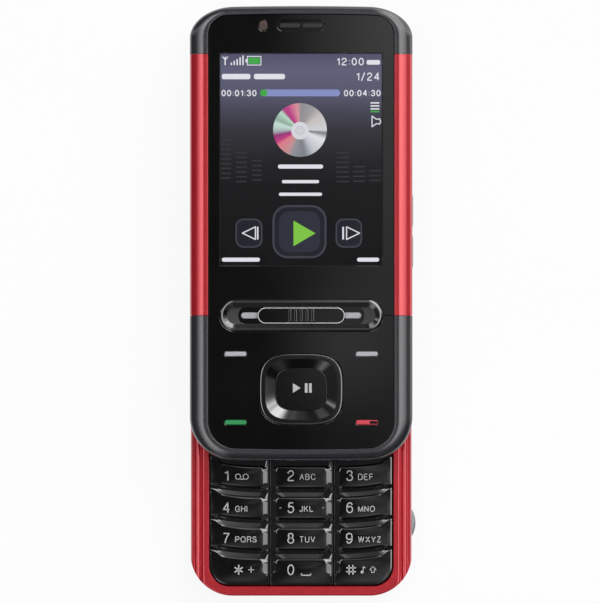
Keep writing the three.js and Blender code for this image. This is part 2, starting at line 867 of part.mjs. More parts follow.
function addSpring() {
  const coilRadius = 2;
  const coilTurns = 2;
  const stepsPerTurn = 12;
  const z = (deckTop + carrierUnderside) / 2;
  const pitch = 2 * wireRadius + seam;
  const from = new THREE.Vector2(springBase[0], springBase[1]);
  const to = new THREE.Vector2(springSlider[0], springSlider[1] + slideTravel);
  const middle = from.clone().add(to).multiplyScalar(0.5);
  const points = [];
  const eyeRadius = pinRadius + wireRadius + fit;
  const eyeSteps = 6;
  const eyeStart = 0.6 * Math.PI;
  const eyeTurn = 1.1 * Math.PI;
  const eye = (centre, side, zAt, order) => {
    const turns = Array.from({ length: eyeSteps }, (_, i) => {
      const angle = side + eyeStart + (i / (eyeSteps - 1)) * eyeTurn;
      return new THREE.Vector3(
        centre.x + eyeRadius * Math.cos(angle),
        centre.y + eyeRadius * Math.sin(angle),
        zAt,
      );
    });
    return order > 0 ? turns : turns.reverse();
  };
  const angle = Math.atan2(to.y - from.y, to.x - from.x);
  const lowZ = z - (coilTurns / 2) * pitch;
  const highZ = z + (coilTurns / 2) * pitch;
  points.push(...eye(from, angle, lowZ, 1));
  for (let i = 0; i <= coilTurns * stepsPerTurn; i++) {
    const turn = angle - Math.PI / 2 + (i / stepsPerTurn) * 2 * Math.PI;
    const share = i / (coilTurns * stepsPerTurn);
    points.push(
      new THREE.Vector3(
        middle.x + coilRadius * Math.cos(turn),
        middle.y + coilRadius * Math.sin(turn),
        lowZ + (highZ - lowZ) * share,
      ),
    );
  }
  points.push(...eye(to, angle + Math.PI, highZ, -1));
  const path = new THREE.CatmullRomCurve3(points, false, 'centripetal');
  const wireSides = 5;
  const wireSteps = 64;
  const wire = new THREE.Shape(
    Array.from({ length: wireSides }, (_, i) => {
      const at = (i / wireSides) * 2 * Math.PI;
      return new THREE.Vector2(wireRadius * Math.cos(at), wireRadius * Math.sin(at));
    }),
  );
  const geometry = new THREE.ExtrudeGeometry(wire, { steps: wireSteps, extrudePath: path });
  place(phone, 'assist_spring', solidOf(geometry), steel);
}

function addFlexCable() {
  const low = deckTop + fit;
  const high = carrierUnderside - fit - flexThickness;
  const openSliderY = flexSliderY + slideTravel;
  const bendY = (flexBaseY + openSliderY - flexLoop) / 2;
  const radius = (high - low) / 2;
  const bendSteps = 8;
  const line = [[flexBaseY, boardTop + flexSocketHeight + fit]];
  line.push([flexBaseY, low]);
  for (let i = 0; i <= bendSteps; i++) {
    const angle = -Math.PI / 2 - (i / bendSteps) * Math.PI;
    line.push([bendY + radius * Math.cos(angle), low + radius + radius * Math.sin(angle)]);
  }
  line.push([openSliderY, high]);
  line.push([openSliderY, ledgeTop - fit]);
  const offset = (index, side) => {
    const [y, z] = line[index];
    const before = line[Math.max(index - 1, 0)];
    const after = line[Math.min(index + 1, line.length - 1)];
    const along = new THREE.Vector2(y - before[0], z - before[1]).normalize();
    const onward = new THREE.Vector2(after[0] - y, after[1] - z).normalize();
    const across = along.add(onward).normalize();
    return [
      y - (side * across.y * flexThickness) / 2,
      z + (side * across.x * flexThickness) / 2,
    ];
  };
  const outline = [
    ...line.map((_, i) => offset(i, 1)),
    ...line.map((_, i) => offset(line.length - 1 - i, -1)),
  ];
  place(phone, 'flex_cable', barAlongX(outline, flexSpan(0)), copper);
}

function addCamera() {
  const lensRadius = 2.4;
  const bodyZ = [backFloor + fit, deckUnderside - 2 * batteryFit];
  const body = box(around(0, cameraWidth), around(cameraY, cameraWidth), bodyZ);
  const nose = rod('z', cameraNose, [cameraPanelThickness + 2 * fit, bodyZ[1]], [0, cameraY]);
  const lens = rod('z', lensRadius, [0, backFloor], [0, cameraY]);
  place(phone, 'camera_module', cut(join(body, nose), lens), innerPlastic);

  const lensRecess = 0.3;
  const flashX = 7.6;
  const flashWidth = 4.4;
  const flashHeight = 2.2;
  const panel = prism(
    roundedRectangle(
      around(0, cameraPanelWidth),
      around(cameraY, cameraPanelLength),
      cameraPanelLength / 3,
    ),
    [seam, cameraPanelThickness],
  );
  const dish = rod('z', lensRadius, [0, seam + lensRecess], [0, cameraY]);
  const flash = prism(stadium([flashX, cameraY], flashWidth, flashHeight), [0, seam + lensRecess]);
  place(phone, 'camera_panel', cut(panel, dish, flash), glossBlack);
}

function addSounders() {
  const speakerTop = boardUnderside - fit;
  const speakerCorner = 2;
  const speaker = prism(
    roundedRectangle(around(0, speakerWidth), around(speakerY, speakerLength), speakerCorner),
    [backFloor + fit, speakerTop],
  );
  place(phone, 'loudspeaker', speaker, innerPlastic);

  const motorZ = boardUnderside - fit - motorRadius;
  const shaftRadius = 0.4;
  const motor = join(
    rod('x', motorRadius, [motorX, motorX + motorLength], [simY, motorZ]),
    rod('x', shaftRadius, [motorX, weightX + weightLength], [simY, motorZ], stemSides),
  );
  place(phone, 'vibration_motor', motor, silver);
  const weightRadius = motorRadius - seam;
  const disc = rod('x', weightRadius, [weightX, weightX + weightLength], [simY, motorZ]);
  const half = box(
    [weightX - overrun, weightX + weightLength + overrun],
    [simY - 2 * weightRadius, simY + 2 * weightRadius],
    [motorZ + shaftRadius + 2 * fit, motorZ + 2 * weightRadius],
  );
  const boreX = [motorX, weightX + 2 * weightLength];
  const bore = rod('x', shaftRadius + seam, boreX, [simY, motorZ], stemSides);
  place(phone, 'vibration_weight', cut(disc, half, bore), steel);
}

function addConnectors() {
  const blockDepth = 8.2;
  const headsetBore = 1.4;
  const chargerBore = 1.1;
  const blockHeight = 3.5;
  const backY = endY - shellWall - fit;
  const block = box(
    [chargerX - chargerNose - fit, headsetX + headsetNose + fit],
    [backY - blockDepth + shellWall, backY],
    [flangeUnderside - fit - blockHeight, flangeUnderside - fit],
  );
  const noses = [
    rod('y', headsetNose, [backY - fit, endY], [headsetX, connectorZ]),
    rod('y', chargerNose, [backY - fit, endY], [chargerX, connectorZ]),
  ];
  const bores = [
    rod('y', headsetBore, [backY - blockDepth + 2 * shellWall, endY + overrun], [
      headsetX,
      connectorZ,
    ]),
    rod('y', chargerBore, [backY - blockDepth + 2 * shellWall, endY + overrun], [
      chargerX,
      connectorZ,
    ]),
  ];
  place(phone, 'connector_block', cut(join(block, ...noses), ...bores), innerPlastic);

  const mouthX = -bodyWidth / 2 + doorThickness + 2 * fit;
  const portSkin = 0.3;
  const tongueHeight = 0.6;
  const shell = box(
    [mouthX, mouthX + portDepth],
    around(0, portWidth),
    around(sideZ, portHeight),
  );
  const mouth = box(
    [mouthX - overrun, mouthX + portDepth - portSkin],
    around(0, portWidth - 2 * portSkin),
    around(sideZ, portHeight - 2 * portSkin),
  );
  const tongue = box(
    [mouthX + portSkin, mouthX + portDepth],
    around(0, portWidth - 4 * portSkin - 2 * portSkin),
    around(sideZ, tongueHeight),
  );
  place(phone, 'usb_port', join(cut(shell, mouth), tongue), silver);

  const antennaLength = 5;
  const antennaThickness = 0.3;
  const antennaSlot = 0.8;
  const antennaX = [topCornerWidth - bodyWidth / 2, chargerX - chargerNose - shellWall];
  const antennaWidth = antennaX[1] - antennaX[0];
  const antennaY = [backY - antennaLength, backY];
  const strip = box(antennaX, antennaY, [
    flangeUnderside - fit - antennaThickness,
    flangeUnderside - fit,
  ]);
  const slots = [1, 2, 3].map((i) => {
    const low = i % 2 ? antennaY[0] - overrun : antennaY[0] + antennaSlot;
    const high = i % 2 ? antennaY[1] - antennaSlot : antennaY[1] + overrun;
    const y = [low, high];
    return box(around(antennaX[0] + (antennaWidth * i) / 4, antennaSlot), y, [0, baseThickness]);
  });
  place(phone, 'antenna', cut(strip, ...slots), copper);
}

function addSideControls() {
  const flangeDepth = 0.6;
  const capInside = wallInside - 2 * fit;
  const flangeX = [capInside - flangeDepth, capInside];
  const flangeLip = 0.5;
  const crown = 0.25;
  const rockerEnd = bodyWidth / 2 + rockerProud;
  const rockerHalf = rockerLength / 2;
  const rockerOutline = [
    [flangeX[0], rockerY - rockerHalf],
    [rockerEnd - crown, rockerY - rockerHalf],
    [rockerEnd, rockerY - rockerHalf + crown],
    [rockerEnd, rockerY - crown],
    [rockerEnd - crown, rockerY],
    [rockerEnd, rockerY + crown],
    [rockerEnd, rockerY + rockerHalf - crown],
    [rockerEnd - crown, rockerY + rockerHalf],
    [flangeX[0], rockerY + rockerHalf],
  ].map(([x, y]) => new THREE.Vector2(x, y));
  const rockerFlange = box(
    flangeX,
    around(rockerY, rockerLength - 2 * shellWall),
    around(sideZ, rockerHeight + 2 * flangeLip),
  );
  const rocker = join(prism(rockerOutline, around(sideZ, rockerHeight)), rockerFlange);
  place(phone, 'volume_rocker', rocker, charcoal);

  const domeStart = bodyWidth / 2 + fit;
  const domeSteps = 8;
  const domeHalf = shutterLength / 2;
  const shutterOutline = [
    [flangeX[0], -domeHalf],
    ...Array.from({ length: domeSteps + 1 }, (_, i) => {
      const y = domeHalf * ((2 * i) / domeSteps - 1);
      const rise = (shutterProud - fit) * (1 - (y / domeHalf) ** 2);
      return [domeStart + rise, y];
    }),
    [flangeX[0], domeHalf],
  ].map(([x, y]) => new THREE.Vector2(x, shutterY + y));
  const shutterFlange = box(
    flangeX,
    around(shutterY, shutterLength + 2 * flangeLip),
    around(sideZ, shutterHeight + 2 * flangeLip),
  );
  const shutter = join(prism(shutterOutline, around(sideZ, shutterHeight)), shutterFlange);
  place(phone, 'camera_key', shutter, silver);

  const doorX = [-bodyWidth / 2 + seam / 2, -bodyWidth / 2 + doorThickness];
  const door = prism(
    roundedRectangle(doorX, around(0, doorLength), doorThickness / 4),
    around(sideZ, doorHeight),
  );
  place(phone, 'port_door', door, redMetal);
}

const padTopLedge = 1.3;
const padBottomLedge = 0.78;
const centrePadInset = 1.22;
const outerPadInset = 1.08;
const padInner = centreColumnHalf + outerPadInset;
const centrePadHalf = centreColumnHalf - centrePadInset;
const padCorner = 1;
const padCornerSteps = 2;
const padBevel = 0.28;
const flareFromEdge = 2.74;
const flareWidth = 1.5;
const flareStart = keypadHalfWidth - flareFromEdge;
const flareEnd = flareStart + flareWidth;
const footHeight = 2.2;
const footFlare = 0.8;
const linePoints = 6;

const ease = (value, from, to) => {
  const t = Math.min(Math.max((value - from) / (to - from), 0), 1);
  return t * t * (3 - 2 * t);
};

// The plate of one key: its cell between the row lines, less half a gap all round.
function keyCell(row, column) {
  const x0 = column ? centreColumnHalf + keyGap / 2 : -centreColumnHalf + keyGap / 2;
  const x1 = column ? keypadHalfWidth - fit : centreColumnHalf - keyGap / 2;
  const xs = Array.from({ length: linePoints + 1 }, (_, i) => x0 + ((x1 - x0) * i) / linePoints);
  const bottomGap = row === 3 ? fit : keyGap / 2;
  const bottom = xs.map((x) => new THREE.Vector2(x, rowLine(row + 1, x) + bottomGap));
  const top = xs.map((x) =>
    new THREE.Vector2(x, row === 0 ? deckEdgeY - fit : rowLine(row, x) - keyGap / 2),
  );
  return [...bottom, ...top.reverse()];
}

// The raised pad of an outer key, for the right column. It widens to the whole cell at its
// outer end, and in the bottom row it also widens at its foot.
function outerPad(row) {
  const edge = keypadHalfWidth - fit;
  const cellInner = centreColumnHalf + keyGap / 2;
  const xs = Array.from({ length: linePoints }, (_, i) => {
    const starts = [padInner + padCorner, flareStart - padCorner];
    return i < 2 ? starts[i] : flareStart + ((edge - flareStart) * (i - 1)) / (linePoints - 2);
  });
  const topAt = (x) => {
    const flare = ease(x, flareStart, flareEnd);
    return rowLine(row, x) - padTopLedge * (1 - flare) - (keyGap / 2) * flare;
  };
  const bottomAt = (x) => {
    const flare = ease(x, flareStart, flareEnd);
    return rowLine(row + 1, x) + padBottomLedge * (1 - flare) + (keyGap / 2) * flare;
  };
  const rounded = (end, sign) =>
    Array.from({ length: padCornerSteps + 1 }, (_, i) => {
      const angle = ((i / padCornerSteps) * Math.PI) / 2;
      return new THREE.Vector2(
        padInner + padCorner * (1 - Math.cos(angle)),
        end + sign * padCorner * (1 - Math.sin(angle)),
      );
    });
  const topCorner = rounded(topAt(padInner), -1);
  const foot = keypadBottomY + fit;
  const lower =
    row === 3
      ? [
          new THREE.Vector2(padInner, foot + footHeight + footFlare),
          new THREE.Vector2(cellInner, foot + footHeight),
          new THREE.Vector2(cellInner, foot),
          new THREE.Vector2(edge, foot),
        ]
      : [
          ...rounded(bottomAt(padInner), 1),
          ...xs.slice(1).map((x) => new THREE.Vector2(x, bottomAt(x))),
        ];
  const upper = xs.slice(1).map((x) => new THREE.Vector2(x, topAt(x))).reverse();
  return [...lower, ...upper, ...topCorner.reverse()];
}

function centrePad(row) {
  const top = rowLine(row, 0) - padTopLedge;
  const bottom = rowLine(row + 1, 0) + padBottomLedge;
  const plan = (lowest) =>
    roundedRectangle([-centrePadHalf, centrePadHalf], [lowest, top], padCorner, padCornerSteps);
  if (row < 3) return plan(bottom);
  const cellHalf = centreColumnHalf - keyGap / 2;
  const foot = keypadBottomY + fit;
  return [
    new THREE.Vector2(-centrePadHalf, foot + footHeight + footFlare),
    new THREE.Vector2(-cellHalf, foot + footHeight),
    new THREE.Vector2(-cellHalf, foot),
    new THREE.Vector2(cellHalf, foot),
    new THREE.Vector2(cellHalf, foot + footHeight),
    new THREE.Vector2(centrePadHalf, foot + footHeight + footFlare),
    ...plan(foot).filter((p) => p.y > foot + footHeight + footFlare),
  ];
}

function raisedPad(points) {
  const below = keyPlate / 2;
  const geometry = new THREE.ExtrudeGeometry(new THREE.Shape(points), {
    depth: keyPadHeight + below - 2 * padBevel,
    bevelThickness: padBevel,
    bevelSize: padBevel,
    bevelOffset: -padBevel,
    bevelSegments: 1,
  });
  geometry.translate(0, 0, keyLedge - below + padBevel);
  return solidOf(geometry);
}

const mirrorX = (points) => points.map((p) => new THREE.Vector2(-p.x, p.y)).reverse();

function addKeys() {
  const names = [
    ['key_1', 'key_2', 'key_3'],
    ['key_4', 'key_5', 'key_6'],
    ['key_7', 'key_8', 'key_9'],
    ['key_star', 'key_0', 'key_hash'],
  ];
  const well = prism(
    caseOutline({ ...inset(keypadPlan, fit), top: endY }),
    [keyUnderside, baseThickness + overrun],
  );
  names.forEach((line, row) =>
    line.forEach((name, index) => {
      const column = index - 1;
      const side = (points) => (column < 0 ? mirrorX(points) : points);
      const plate = prism(side(keyCell(row, column)), [keyUnderside, keyLedge]);
      const pad = raisedPad(side(column ? outerPad(row) : centrePad(row)));
      const key = join(plate, pad).intersect(well);
      place(phone, name, key, keyBlack);
    }),
  );
}

const rimFrameShare = 0.62;
const rimOverlapShare = 0.05;
const rimShellShares = [
  [0.18, 0],
  [0.04, 0.08],
  [0, 0.23],
  [0, 0.7],
  [0.06, 0.86],
  [0.22, 0.932],
  [0.46, 0.976],
  [0.76, 1],
  [0.985, 1],
  [1, 0.985],
];

function addRim() {
  const profile = [
    ...rimShellShares.map(([across, up]) => [across, sliderUnderside + sliderThickness * up]),
    [1, rimLip],
    [rimFrameShare, rimLip],
    [rimFrameShare, sliderUnderside],
  ];
  const rim = band(caseOutline(casePlan), caseOutline(facePlan), profile);
  const heights = [sliderUnderside - overrun, sliderTop + overrun];
  const slice = (xs, ys) => rim.intersect(box(xs, ys, heights));
  const railY = [faceSeamY + seam / 2, capSeamY - seam / 2];
  const topY = [capSeamY + seam / 2, endY + overrun];
  const bottomY = [-endY - overrun, faceSeamY - seam / 2];
  const half = bodyWidth / 2 + overrun;
  place(slider, 'slider_top_cap', slice([-half, half], topY), charcoal);
  place(slider, 'slider_bottom_cap', slice([-half, half], bottomY), charcoal);
  place(slider, 'slider_rail_left', slice([-half, 0], railY), redMetal);
  place(slider, 'slider_rail_right', slice([0, half], railY), redMetal);
}

// Display, sensor, earpiece and music key places on the face
const displaySideMargin = 6.65;
const displayTopMargin = 10.325;
const displayToSeam = 10.825;
const displayWidth = bodyWidth - 2 * displaySideMargin;
const displayLength = endY - displayTopMargin - displayToSeam - faceSeamY;
const displayY = endY - displayTopMargin - displayLength / 2;
const moduleMargin = 2;
const topRowFromTop = 4.3;
const topRowY = endY - topRowFromTop;
const sensorX = -8.2;
const sensorWidth = 1.9;
const sensorLength = 2.3;
const earSlotWidth = 10.4;
const earSlotLength = 2.3;
const bezelSideMargin = 6.5;
const bezelWidth = bodyWidth - 2 * bezelSideMargin;
const bezelLength = 6.8;
const bezelShelf = 4.1;
const lightReach = 4;
const trackShelf = 1.4;
const musicKeyFit = 0.2;
const musicTrackWidth = bezelWidth - 2 * bezelShelf;
const musicTrackLength = bezelLength - 2 * trackShelf;
const musicKeyWidth = musicTrackWidth - 2 * lightReach;
const musicKeyLength = musicTrackLength - 2 * musicKeyFit;
const musicTravel = 2.5;
const naviRaise = 0.22;
const naviY = (faceSeamY - bezelLength / 2 - endY + rimBottom) / 2 + naviRaise;
const naviWidthShare = 0.3714;
const naviSlope = 6.8;
const naviWidth = bodyWidth * naviWidthShare;
const naviLength = 15.3;
const selectWidth = naviWidth - naviSlope;
const selectExtra = 0.5;
const selectLength = naviLength - naviSlope + selectExtra;
const barWidth = 4.7;
const barLength = 0.95;
const barFromSide = 9.9;
const barX = bodyWidth / 2 - barFromSide;
const softAboveNavi = 7.65;
const callBelowNavi = 7.15;
const faceKeyTravel = 0.25;

const faceKeys = [
  ['left_soft_key', -barX, naviY + softAboveNavi, litWhite],
  ['right_soft_key', barX, naviY + softAboveNavi, litWhite],
  ['call_key', -barX, naviY - callBelowNavi, callGreen],
  ['end_key', barX, naviY - callBelowNavi, endRed],
];

function addSliderFrame() {
  const frameShare = rimFrameShare + rimOverlapShare;
  const cavityIn = 0.55;
  const ledgeWidth = 2;
  const outer = caseOutline(casePlan);
  const inner = caseOutline(facePlan);
  const outline = outer.map((p, i) => p.clone().lerp(inner[i], frameShare));
  const block = prism(outline, [sliderUnderside, frameTop]);
  const cavity = prism(caseOutline(inset(facePlan, cavityIn)), [ledgeTop, sliderTop]);
  const lowerCavity = prism(
    caseOutline(inset(facePlan, cavityIn + ledgeWidth)),
    [floorTop, sliderTop],
  );
  const channelOut = railHalf + railFlange + railRun + plateSteel + fit;
  const channelY = [railStart - slideTravel - fit, railEnd + fit];
  const channels = [-1, 1].map((sign) =>
    box(
      [sign * channelOut, sign * (railHalf - plateSteel - 2 * fit)].sort((a, b) => a - b),
      channelY,
      [sliderUnderside - overrun, railTop + fit],
    ),
  );
  const closedBendY = (flexBaseY + flexSliderY - slideTravel - flexLoop) / 2;
  const pocketStart = closedBendY - 2 * fit - railRise;
  const pocketEnd = endY - slideTravel - shellWall;
  const pocket = box(
    [-channelOut, channelOut],
    [pocketStart, pocketEnd],
    [sliderUnderside - overrun, carrierUnderside],
  );
  const carrierSeat = box(
    [-channelOut, channelOut],
    [carrierStart - fit, carrierStart + carrierLength + fit],
    [sliderUnderside - overrun, pocketTop],
  );
  const flexSlot = box(flexSpan(fit), flexSliderSlot, [sliderUnderside, sliderTop]);
  const frame = cut(block, cavity, lowerCavity, ...channels, pocket, carrierSeat, flexSlot);
  place(slider, 'slider_frame', frame, innerPlastic);
}

function addCarrier() {
  const outside = railHalf + railFlange + railRun + plateSteel;
  const lipInside = railHalf + railRun + fit;
  const lipTop = railTop - plateSteel - railRun;
  const profile = (sign) =>
    [
      [outside, carrierTop],
      [outside, lipTop - plateSteel],
      [lipInside, lipTop - plateSteel],
      [lipInside, lipTop],
      [outside - plateSteel, lipTop],
      [outside - plateSteel, carrierUnderside],
    ].map(([x, z]) => [sign * x, z]);
  const section = [...profile(1), ...profile(-1).reverse()];
  const plate = barAlongY(section, [carrierStart, carrierStart + carrierLength]);
  const pin = rod('z', pinRadius, [deckTop + pinShort + halvesGap, carrierTop], springSlider);
  const flexSlot = box(flexSpan(fit), flexSliderSlot, [0, sliderTop]);
  place(slider, 'slide_carrier', cut(join(plate, pin), flexSlot), steel);
}

function addFace() {
  const gap = seam;
  const faceZ = [faceUnderside, faceTop];
  const edgeRound = 0.15;
  const face = loft([
    { points: caseOutline(inset(facePlan, gap)), z: faceUnderside },
    { points: caseOutline(inset(facePlan, gap)), z: faceTop - edgeRound },
    { points: caseOutline(inset(facePlan, gap + edgeRound)), z: faceTop },
  ]);
  const through = [faceUnderside - overrun, faceTop + overrun];
  const bezelHole = prism(
    stadium([0, faceSeamY], bezelWidth + 2 * gap, bezelLength + 2 * gap),
    through,
  );
  const displayHole = box(
    around(0, displayWidth + 2 * gap),
    around(displayY, displayLength + 2 * gap),
    through,
  );
  const sensorHole = prism(
    uprightStadium([sensorX, topRowY], sensorWidth + 2 * gap, sensorLength + 2 * gap),
    through,
  );
  const earHole = prism(stadium([0, topRowY], earSlotWidth, earSlotLength), through);
  const upperHalf = box(wholeWidth, [faceSeamY + gap / 2, endY], through);
  const lowerHalf = box(wholeWidth, [-endY, faceSeamY - gap / 2], through);
  const upper = cut(face.intersect(upperHalf), bezelHole, displayHole, sensorHole, earHole);
  place(slider, 'upper_fascia', upper, glossBlack);

  const naviHole = prism(
    squircle([0, naviY], naviWidth + 2 * fit, naviLength + 2 * fit),
    through,
  );
  const barHoles = faceKeys.map(([, x, y]) =>
    prism(stadium([x, y], barWidth + 2 * gap, barLength + 2 * gap), through),
  );
  const lower = cut(face.intersect(lowerHalf), bezelHole, naviHole, ...barHoles);
  place(slider, 'lower_fascia', lower, glossBlack);

  const pane = box(
    around(0, displayWidth),
    around(displayY, displayLength),
    [faceZ[0], faceTop - gap],
  );
  place(slider, 'display_lens', pane, clearPane);
}

function addDisplay() {
  const corner = 0.8;
  const module = prism(
    roundedRectangle(
      around(0, displayWidth + 2 * moduleMargin),
      around(displayY, displayLength + 2 * moduleMargin),
      corner,
    ),
    [displayUnderside, displayTop],
  );
  place(slider, 'display_module', module, screenGlass);
}

function addEarpieceAndSensor() {
  const earWidth = 12;
  const earLength = 4;
  const noseDrop = 0.35;
  const barDrop = 0.3;
  const webWidth = 0.7;
  const moduleEdge = displayY + displayLength / 2 + moduleMargin;
  const earY = moduleEdge + fit + earLength / 2;
  const body = box(around(0, earWidth), around(earY, earLength), [ledgeTop + seam, displayTop]);
  const nose = prism(
    stadium([0, topRowY], earSlotWidth - 2 * seam, earSlotLength - 2 * seam),
    [displayTop - seam, faceTop - noseDrop],
  );
  const slotHalf = (earSlotWidth - 4 * seam - webWidth) / 2 - barDrop;
  const slots = [-1, 1].map((sign) =>
    prism(
      stadium([(sign * (slotHalf + webWidth)) / 2, topRowY], slotHalf, earSlotLength / 2),
      [faceTop - noseDrop - barDrop, faceTop],
    ),
  );
  place(slider, 'earpiece', cut(join(body, nose), ...slots), innerPlastic);

  const sensor = prism(
    uprightStadium([sensorX, topRowY], sensorWidth, sensorLength),
    [displayTop - domeHeight, faceTop - seam],
  );
  place(slider, 'light_sensor', sensor, sensorBrown);
}

// Music key: a bezel that straddles the face seam, a light guide with a window at each end,
// and the key.
const trackFloorDrop = 1.35;
const trackFloor = 0.4;
const lightProud = 0.25;
const stemShare = 0.35;
const stemWidth = musicKeyWidth * stemShare;
const stemLength = 1.5;

function addMusicKey() {
  const gap = seam;
  const lipProud = 0.2;
  const lipRise = 0.4;
  const lipWidth = 0.6;
  const dishDrop = 0.21;
  const dishWidth = 1.6;
  const floorZ = faceTop - trackFloorDrop;
  const centre = [0, faceSeamY];
  const ring = (shrink, z) => ({
    points: stadium(centre, bezelWidth - 2 * shrink, bezelLength - 2 * shrink),
    z,
  });
  const outer = loft([
    ring(0, floorZ - trackFloor),
    ring(0, faceTop),
    ring(lipRise, faceTop + lipProud),
  ]);
  const dish = loft([
    ring(dishWidth, faceTop - dishDrop),
    ring(lipWidth, faceTop + lipProud),
    ring(lipWidth, faceTop + overrun),
  ]);
  const track = prism(
    stadium(centre, musicTrackWidth, musicTrackLength),
    [floorZ, faceTop + overrun],
  );
  const stemSlot = prism(
    stadium(centre, stemWidth + 2 * musicTravel + 4 * fit, stemLength + 2 * fit),
    [0, faceTop + overrun],
  );
  const lightInset = 0.45;
  const lightX = (musicKeyWidth / 2 + musicTrackWidth / 2) / 2 - lightInset;
  const lightWidth = lightReach - seam;
  const lightLength = 1.33;
  const windows = (extra) =>
    [-1, 1].map((sign) =>
      stadium([sign * lightX, faceSeamY], lightWidth + extra, lightLength + extra),
    );
  const windowHoles = windows(2 * gap).map((points) => prism(points, [0, faceTop + overrun]));
  place(slider, 'music_key_bezel', cut(outer, dish, track, stemSlot, ...windowHoles), glossBlack);

  const guideTop = floorZ - trackFloor - gap;
  const guideThickness = 0.5;
  const guideMargin = 0.5;
  const guideWidth = 2 * lightX + lightWidth + 2 * guideMargin;
  const guide = prism(stadium(centre, guideWidth, bezelLength / 2), [
    guideTop - guideThickness,
    guideTop,
  ]);
  const posts = windows(0).map((points) => prism(points, [guideTop - gap, floorZ + lightProud]));
  place(slider, 'music_key_light_guide', cut(join(guide, ...posts), stemSlot), litWhite);

  const keyUnder = floorZ + lightProud + fit;
  const keyProud = 0.1;
  const keyEdge = 0.2;
  const keyTop = faceTop + keyProud;
  const gripCount = 5;
  const gripPitch = 1.23;
  const gripWidth = 0.62;
  const gripLength = 2.6;
  const gripProud = 0.1;
  const headPlan = (drawnIn) =>
    stadium(centre, musicKeyWidth - 2 * drawnIn, musicKeyLength - 2 * drawnIn);
  const head = loft([
    { points: headPlan(0), z: keyUnder },
    { points: headPlan(0), z: keyTop - keyEdge },
    { points: headPlan(keyEdge), z: keyTop },
  ]);
  const stem = prism(
    stadium(centre, stemWidth, stemLength),
    [sliderDomeTop + 2 * fit, keyTop - keyEdge],
  );
  const grips = Array.from({ length: gripCount }, (_, i) =>
    box(
      around((i - (gripCount - 1) / 2) * gripPitch, gripWidth),
      around(faceSeamY, gripLength),
      [keyTop - keyEdge, keyTop + gripProud],
    ),
  );
  place(slider, 'music_slide_key', join(head, stem, ...grips), keyBlack);
}

function addSliderBoard() {
  const domeRadius = 1.6;
  const boardSideMargin = 2;
  const boardBottomMargin = 1.5;
  const boardHalf = facePlan.halfWidth - boardSideMargin;
  const boardBottom = facePlan.bottom + boardBottomMargin;
  const boardEnd = displayY - displayLength / 2 - moduleMargin - fit;
  const plan = {
    ...facePlan,
    halfWidth: boardHalf,
    bottom: boardBottom,
    top: boardEnd,
    topCorner: [seam, seam],
    bow: 0,
  };
  const board = prism(caseOutline(plan), [displayUnderside, sliderBoardTop]);
  const centres = [
    ...faceKeys.map(([, x, y]) => [x, y]),
    [0, naviY],
    [0, naviY + naviLength / 2 - domeRadius],
    [0, naviY - naviLength / 2 + domeRadius],
    [naviWidth / 2 - domeRadius, naviY],
    [-naviWidth / 2 + domeRadius, naviY],
  ];
  const domes = centres.map((at) =>
    rod('z', domeRadius, [sliderBoardTop - seam, sliderDomeTop], at, stemSides),
  );
  place(slider, 'slider_board', join(board, ...domes), boardGreen);
}

function addFaceKeys() {
  const proud = 0.12;
  const skirt = 1.1;
  const skirtThickness = 0.45;
  const skirtTop = faceUnderside - seam;
  const stemRadius = 0.5;
  for (const [name, x, y, material] of faceKeys) {
    const bar = prism(stadium([x, y], barWidth, barLength), [skirtTop - seam, faceTop + proud]);
    const flange = prism(
      stadium([x, y], barWidth + skirt, barLength + skirt),
      [skirtTop - skirtThickness, skirtTop],
    );
    const stemZ = [sliderDomeTop + faceKeyTravel + seam, skirtTop];
    const stem = rod('z', stemRadius, stemZ, [x, y], stemSides);
    place(slider, name, join(bar, flange, stem), material);
  }
}

const naviProud = 0.35;
const webThickness = 0.35;
const webGap = 0.3;
const naviUnderside = sliderDomeTop + webGap + webThickness + webGap + seam;

function addNavi() {
  const outer = squircle([0, naviY], naviWidth, naviLength);
  const inner = squircle([0, naviY], selectWidth + 2 * fit, selectLength + 2 * fit);
  const selectDrop = 0.72;
  const selectTop = faceTop - selectDrop;
  const crestShare = 0.07;
  const slopeShare = 0.36;
  const profile = [
    [0, naviUnderside],
    [0, faceTop + naviProud / 2],
    [crestShare, faceTop + naviProud],
    [slopeShare, faceTop + naviProud],
    [1, selectTop - seam],
    [1, naviUnderside],
  ];
  place(slider, 'navi_ring', band(outer, inner, profile), keyBlack);

  const webInset = 1.7;
  const webCorner = 2;
  const webWidth = naviWidth - 2 * webInset;
  const webLength = naviLength - 2 * webInset;
  const webTop = naviUnderside - webGap;
  const web = prism(
    roundedRectangle(around(0, webWidth), around(naviY, webLength), webCorner),
    [webTop - webThickness, webTop],
  );
  const stemPartShare = 0.55;
  const stemCorner = 1;
  const stemOutline = (extra) =>
    roundedRectangle(
      around(0, selectWidth * stemPartShare + extra),
      around(naviY, selectLength * stemPartShare + extra),
      stemCorner,
    );
  const stemHole = prism(stemOutline(4 * fit), [0, sliderTop]);
  place(slider, 'navi_web', cut(web, stemHole), rubber);

  const edge = 0.1;
  const headPlan = (drawnIn) =>
    squircle([0, naviY], selectWidth - 2 * drawnIn, selectLength - 2 * drawnIn);
  const head = loft([
    { points: headPlan(0), z: naviUnderside + 2 * fit },
    { points: headPlan(0), z: selectTop - edge },
    { points: headPlan(edge), z: selectTop },
  ]);
  const stem = prism(stemOutline(0), [
    sliderDomeTop + faceKeyTravel + seam,
    naviUnderside + 3 * fit,
  ]);
  place(slider, 'select_key', join(head, stem), keyBlack);
}

